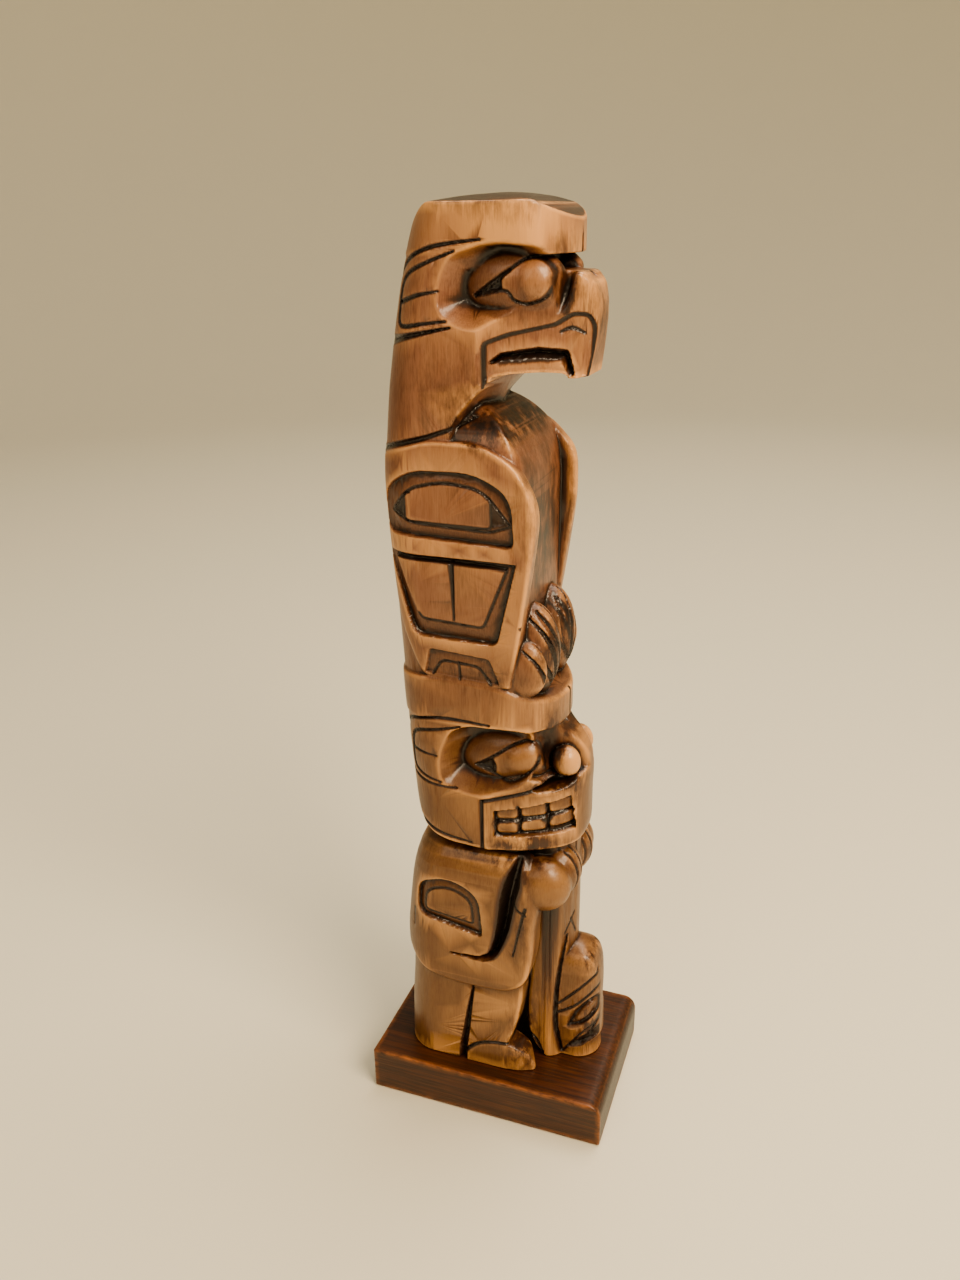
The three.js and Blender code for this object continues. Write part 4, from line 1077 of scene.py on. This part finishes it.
def plinth_tree():
    """A board made of small squares whose front top edge is rolled over and whose faces are rubbed."""
    tree = bpy.data.node_groups.new("Plinth board", "GeometryNodeTree")
    for name, kind in (
        ("Size", "NodeSocketVector"), ("Nose radius", "NodeSocketFloat"), ("Wear", "NodeSocketFloat"),
        ("Seed", "NodeSocketFloat"), ("Wood", "NodeSocketMaterial"),
    ):
        tree.interface.new_socket(name, in_out="INPUT", socket_type=kind)
    tree.interface.new_socket("Board", in_out="OUTPUT", socket_type="NodeSocketGeometry")
    given = add(tree, "NodeGroupInput").node.outputs
    radius = given["Nose radius"]
    counts = {
        "Vertices " + axis: round(side / SQUARE) + 1 for axis, side in zip("XYZ", PLINTH_HIGH - PLINTH_LOW)
    }
    board = add(tree, "GeometryNodeMeshCube", {"Size": given["Size"], **counts})
    here = add(tree, "GeometryNodeInputPosition")
    at = add(tree, "ShaderNodeSeparateXYZ", (here,)).node.outputs
    corner = add(tree, VECTOR_MATH, {0: given["Size"], "Scale": 0.5}, operation="SCALE")
    corner = add(tree, "ShaderNodeSeparateXYZ", (corner,)).node.outputs
    # How far a point lies past the nose's centre line, forwards and upwards.
    centre_y = add(tree, MATH, (radius, corner[1]), operation="SUBTRACT")
    centre_z = add(tree, MATH, (corner[2], radius), operation="SUBTRACT")
    forward = add(tree, MATH, (centre_y, at[1]), operation="SUBTRACT")
    forward = add(tree, MATH, (forward, 0.0), operation="MAXIMUM")
    above = add(tree, MATH, (at[2], centre_z), operation="SUBTRACT")
    above = add(tree, MATH, (above, 0.0), operation="MAXIMUM")
    down = add(tree, MATH, (above, -1.0), operation="MULTIPLY")
    # The square corner round that line is drawn in to a quarter circle.
    past = add(tree, "ShaderNodeCombineXYZ", {1: forward, 2: down})
    length = add(tree, VECTOR_MATH, (past,), result="Value", operation="LENGTH")
    length = add(tree, MATH, (length, 1e-7), operation="MAXIMUM")
    longest = add(tree, MATH, (forward, above), operation="MAXIMUM")
    share = add(tree, MATH, (longest, length), operation="DIVIDE")
    pull = add(tree, MATH, (1.0, share), operation="SUBTRACT")
    roll = add(tree, VECTOR_MATH, {0: past, "Scale": pull}, operation="SCALE")
    board = add(tree, "GeometryNodeSetPosition", {"Geometry": board, "Offset": roll})
    # Wear takes a little off the faces, unevenly.
    bumps = add(tree, "ShaderNodeTexNoise", {
        "Vector": here, "W": given["Seed"], "Scale": 110.0, "Detail": 2.0,
    }, noise_dimensions="4D")
    depth = add(tree, MATH, (bumps, given["Wear"]), operation="MULTIPLY")
    depth = add(tree, MATH, (depth, -1.0), operation="MULTIPLY")
    normal = add(tree, "GeometryNodeInputNormal")
    worn = add(tree, VECTOR_MATH, {0: normal, "Scale": depth}, operation="SCALE")
    board = add(tree, "GeometryNodeSetPosition", {"Geometry": board, "Offset": worn})
    board = add(tree, "GeometryNodeRealizeInstances", (board,))
    board = add(tree, "GeometryNodeSetMaterial", {"Geometry": board, "Material": given["Wood"]})
    add(tree, "NodeGroupOutput", {"Board": board})
    return tree


def baked(piece, modifier, name):
    """The evaluated piece as a plain mesh, with its modifier gone."""
    evaluated = piece.evaluated_get(bpy.context.evaluated_depsgraph_get())
    mesh = bpy.data.meshes.new_from_object(evaluated)
    piece.modifiers.remove(modifier)
    piece.data = mesh
    mesh.name = name
    return piece


def soften_edges(piece):
    """Eases the board's sharp edges and marks where hands have rubbed them."""
    edge = piece.modifiers.new("Edges", "BEVEL")
    edge.width = EDGE_ROUND * MM
    edge.segments = 2
    edge.limit_method = "ANGLE"
    edge.angle_limit = math.radians(50)
    baked(piece, edge, "plinth")
    mesh = piece.data
    flat = np.empty(len(mesh.vertices) * 3, np.float32)
    mesh.vertices.foreach_get("co", flat)
    points = flat.reshape(-1, 3) / MM
    inset = np.stack([PLINTH_HIGH - points, points - PLINTH_LOW])
    inset = np.sort(inset.min(axis=0), axis=1)
    rubbed = np.clip(1 - inset[:, 1] / RUBBED_REACH, 0, 1)
    layer = mesh.attributes.new("rubbed", "FLOAT", "POINT")
    layer.data.foreach_set("value", rubbed.astype(np.float32))
    mesh.shade_smooth()


# ---- Choices for the user -------------------------------------------------------------------------
class TotemCarving(bpy.types.PropertyGroup):
    faces: bpy.props.IntProperty(
        name="Faces", description="Most triangles in the carved figure", default=197000, min=20000,
        max=199000,
    )


class TotemColours(bpy.types.PropertyGroup):
    high_wood: bpy.props.StringProperty(
        name="Upper wood", description="Colour of the rubbed wood near the top, as sRGB hex",
        default="8a6048",
    )
    # Darker than the upper wood: shade painted on the lower part of the pole.
    low_wood_and_shade: bpy.props.StringProperty(
        name="Lower wood", description="Colour of the rubbed wood near the plinth, as sRGB hex",
        default="73502e",
    )
    # Also the colour of the painted highlights.
    worn_edge_and_highlight: bpy.props.StringProperty(
        name="Worn edge", description="Colour of the rubbed ridges, as sRGB hex", default="e0a972",
    )
    # The two stain colours also paint shade into hollows and gaps.
    thin_stain_and_shade: bpy.props.StringProperty(
        name="Thin stain", description="Colour of the wood under a thin wash of stain, as sRGB hex",
        default="4c2a13",
    )
    deep_stain_and_shade: bpy.props.StringProperty(
        name="Deep stain", description="Colour of the stain that fills the cuts, as sRGB hex",
        default="1a0e07",
    )
    plinth_dark: bpy.props.StringProperty(
        name="Plinth, dark grain", description="Darker colour of the plinth's grain, as sRGB hex",
        default="44260f",
    )
    plinth_light: bpy.props.StringProperty(
        name="Plinth, light grain", description="Lighter colour of the plinth's grain, as sRGB hex",
        default="6a3c1a",
    )
    plinth_edge: bpy.props.StringProperty(
        name="Plinth edge", description="Colour of the plinth's rubbed edges, as sRGB hex", default="b06c3a",
    )


class TotemPlinth(bpy.types.PropertyGroup):
    size: bpy.props.FloatVectorProperty(
        name="Size", description="Width, length and height of the plinth", subtype="XYZ", unit="LENGTH",
        default=[float(side) * MM for side in PLINTH_HIGH - PLINTH_LOW],
    )
    nose: bpy.props.FloatProperty(
        name="Nose radius", description="Radius of the rolled front edge", default=0.0055, unit="LENGTH",
    )
    wear: bpy.props.FloatProperty(
        name="Wear", description="Most that the faces are rubbed down", default=0.0003, unit="LENGTH",
    )
    seed: bpy.props.FloatProperty(name="Seed", description="Chooses the pattern of wear", default=4.0)


class TotemStudio(bpy.types.PropertyGroup):
    floor: bpy.props.StringProperty(
        name="Floor", description="Colour of the floor, as sRGB hex", default="e6e0cd",
    )
    light: bpy.props.FloatProperty(
        name="Key light", description="Power of the main light", default=10.5, min=0, unit="POWER",
    )
    sky: bpy.props.FloatProperty(
        name="Sky", description="Strength of the light all round", default=0.2, min=0,
    )
    lens: bpy.props.FloatProperty(
        name="Lens", description="Focal length of the camera in millimetres", default=29.11, min=1,
    )


# ---- Operators ------------------------------------------------------------------------------------
class TOTEM_OT_figure(bpy.types.Operator):
    """Carve the thunderbird and the bear from one piece of wood"""

    bl_idname = "totem.figure"
    bl_label = "Carved figure"

    def execute(self, context):
        scene = context.scene
        halves, side_stain, front_stain = carve_block()
        block = np.ascontiguousarray(np.concatenate([halves[0], halves[1][-2::-1]]))
        slots = StainMap(side_stain, front_stain)
        piece = mesh_of_block(block, "thunderbird_and_bear", scene.totem_carving.faces, slots.near_cut)
        paint_stain_and_light(piece, block, slots)
        piece.data.materials.append(carving_wood(scene.totem_colours))
        piece.data.shade_smooth()
        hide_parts("carved_figure")
        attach(piece, "root")
        return {"FINISHED"}


class TOTEM_OT_plinth(bpy.types.Operator):
    """Make the plinth board"""

    bl_idname = "totem.plinth"
    bl_label = "Plinth"

    def execute(self, context):
        scene = context.scene
        choices = scene.totem_plinth
        mesh = bpy.data.meshes.new("plinth")
        piece = bpy.data.objects.new("plinth", mesh)
        scene.collection.objects.link(piece)
        wood = plinth_wood(scene.totem_colours)
        tree = plinth_tree()
        board = piece.modifiers.new("Board", "NODES")
        board.node_group = tree
        values = {
            "Size": list(choices.size), "Nose radius": choices.nose, "Wear": choices.wear,
            "Seed": choices.seed, "Wood": wood,
        }
        for item in tree.interface.items_tree:
            if item.in_out == "INPUT":
                board[item.identifier] = values[item.name]
        baked(piece, board, "plinth")
        middle = (PLINTH_LOW + PLINTH_HIGH) / 2 * MM
        piece.data.transform(Matrix.Translation(middle))
        soften_edges(piece)
        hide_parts("plinth_board")
        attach(piece, "root")
        return {"FINISHED"}


# ---- Studio ---------------------------------------------------------------------------------------
# A round floor that curves up into a wall, in metres.
FLOOR_REACH, COVE_RADIUS, WALL_TOP = 1.6, 0.9, 2.6
FLOOR_DROP = 0.0002
TURNS = 72
# Soft boxes: name, place, width, power as a share of the key light's, and colour.
LAMPS = (
    ("Key light", (-0.38, -0.62, 0.86), 0.5, 1.0, "ffe8c8"),
    ("Side light", (-0.9, 0.3, 0.8), 0.5, 0.16, "ffecd0"),
    ("Top light", (0.5, -0.3, 1.9), 1.2, 2.4, "fff3df"),
)
LAMPS_AIM = (0, 0, 0.17)
SKY_COLOUR = "fff6e6"
# The camera's place in millimetres, and in degrees its bearing, its height above the object and its roll.
CAMERA_PLACE = (-328.6, -110.5, 335.2)
CAMERA_TURN = (-69.83, 22.09, -0.92)
SENSOR_WIDTH = 36


def cove_mesh():
    """The floor, its cove and the wall as one sheet turned about the middle."""
    profile = [(FLOOR_REACH, 0)]
    for t in np.linspace(0.15, math.pi / 2, 10):
        profile.append((FLOOR_REACH + COVE_RADIUS * math.sin(t), COVE_RADIUS * (1 - math.cos(t))))
    profile.append((FLOOR_REACH + COVE_RADIUS, WALL_TOP))
    points = [(0.0, 0.0, 0.0)]
    for radius, height in profile:
        for k in range(TURNS):
            turn = 2 * math.pi * k / TURNS
            points.append((radius * math.cos(turn), radius * math.sin(turn), height))
    faces = [(0, 1 + k, 1 + (k + 1) % TURNS) for k in range(TURNS)]
    for ring in range(len(profile) - 1):
        low, high = 1 + ring * TURNS, 1 + (ring + 1) * TURNS
        for k in range(TURNS):
            after = (k + 1) % TURNS
            faces.append((low + k, high + k, high + after, low + after))
    mesh = bpy.data.meshes.new("floor")
    mesh.from_pydata(points, [], faces)
    mesh.shade_smooth()
    return mesh


def soft_box(name, place, width, share, colour, key_power):
    """A square area light that looks at the pole."""
    lamp = bpy.data.lights.new(name, "AREA")
    lamp.size = width
    lamp.energy = key_power * share
    lamp.color = linear(colour)[:3]
    holder = bpy.data.objects.new(name, lamp)
    holder.location = place
    aim = Vector(LAMPS_AIM) - Vector(place)
    holder.rotation_euler = aim.to_track_quat("-Z", "Y").to_euler()
    return holder


def studio_camera(lens):
    """A camera whose bearing is counted round the pole from its front."""
    camera = bpy.data.cameras.new("Camera")
    camera.lens = lens
    camera.sensor_width = SENSOR_WIDTH
    camera.clip_start = 0.01
    camera.clip_end = 40
    holder = bpy.data.objects.new("Camera", camera)
    bearing, height, roll = (math.radians(angle) for angle in CAMERA_TURN)
    away = Vector((
        math.sin(bearing) * math.cos(height), -math.cos(bearing) * math.cos(height), math.sin(height),
    ))
    turn = (-away).to_track_quat("-Z", "Y").to_matrix() @ Matrix.Rotation(roll, 3, "Z")
    holder.matrix_world = Matrix.Translation(Vector(CAMERA_PLACE) * MM) @ turn.to_4x4()
    return holder


class TOTEM_OT_studio(bpy.types.Operator):
    """Set out the floor, the lights and the camera"""

    bl_idname = "totem.studio"
    bl_label = "Studio"

    def execute(self, context):
        scene = context.scene
        choices = scene.totem_studio
        paper = finish_material(new_material("Pale paper backdrop"), {
            "Base Color": linear(choices.floor), "Roughness": 0.9,
        })
        floor = bpy.data.objects.new("floor", cove_mesh())
        floor.location.z = -FLOOR_DROP
        floor.data.materials.append(paper)
        scene.collection.objects.link(floor)
        world = bpy.data.worlds.new("Studio air")
        world.use_nodes = True
        air = world.node_tree.nodes["Background"].inputs
        air["Color"].default_value = linear(SKY_COLOUR)
        air["Strength"].default_value = choices.sky
        scene.world = world
        scene.view_settings.look = "AgX - Medium High Contrast"
        for lamp in LAMPS:
            scene.collection.objects.link(soft_box(*lamp, choices.light))
        scene.camera = studio_camera(choices.lens)
        scene.collection.objects.link(scene.camera)
        return {"FINISHED"}


class TOTEM_PT_panel(bpy.types.Panel):
    """Lists the pieces of the totem pole"""

    bl_idname = "TOTEM_PT_panel"
    bl_label = "Totem pole"
    bl_space_type = "VIEW_3D"
    bl_region_type = "UI"
    bl_category = "Totem pole"

    def draw(self, context):
        for operator in OPERATORS:
            self.layout.operator(operator.bl_idname)


GROUPS = {
    "totem_carving": TotemCarving, "totem_colours": TotemColours,
    "totem_plinth": TotemPlinth, "totem_studio": TotemStudio,
}
OPERATORS = (TOTEM_OT_figure, TOTEM_OT_plinth, TOTEM_OT_studio)


def register():
    for kind in (*GROUPS.values(), *OPERATORS, TOTEM_PT_panel):
        bpy.utils.register_class(kind)
    for name, group in GROUPS.items():
        setattr(bpy.types.Scene, name, bpy.props.PointerProperty(type=group))


def unregister():
    for name in GROUPS:
        delattr(bpy.types.Scene, name)
    for kind in reversed((*GROUPS.values(), *OPERATORS, TOTEM_PT_panel)):
        bpy.utils.unregister_class(kind)


def main():
    register()
    bpy.ops.totem.figure()
    bpy.ops.totem.plinth()
    bpy.ops.totem.studio()


if __name__ == "__main__":
    main()
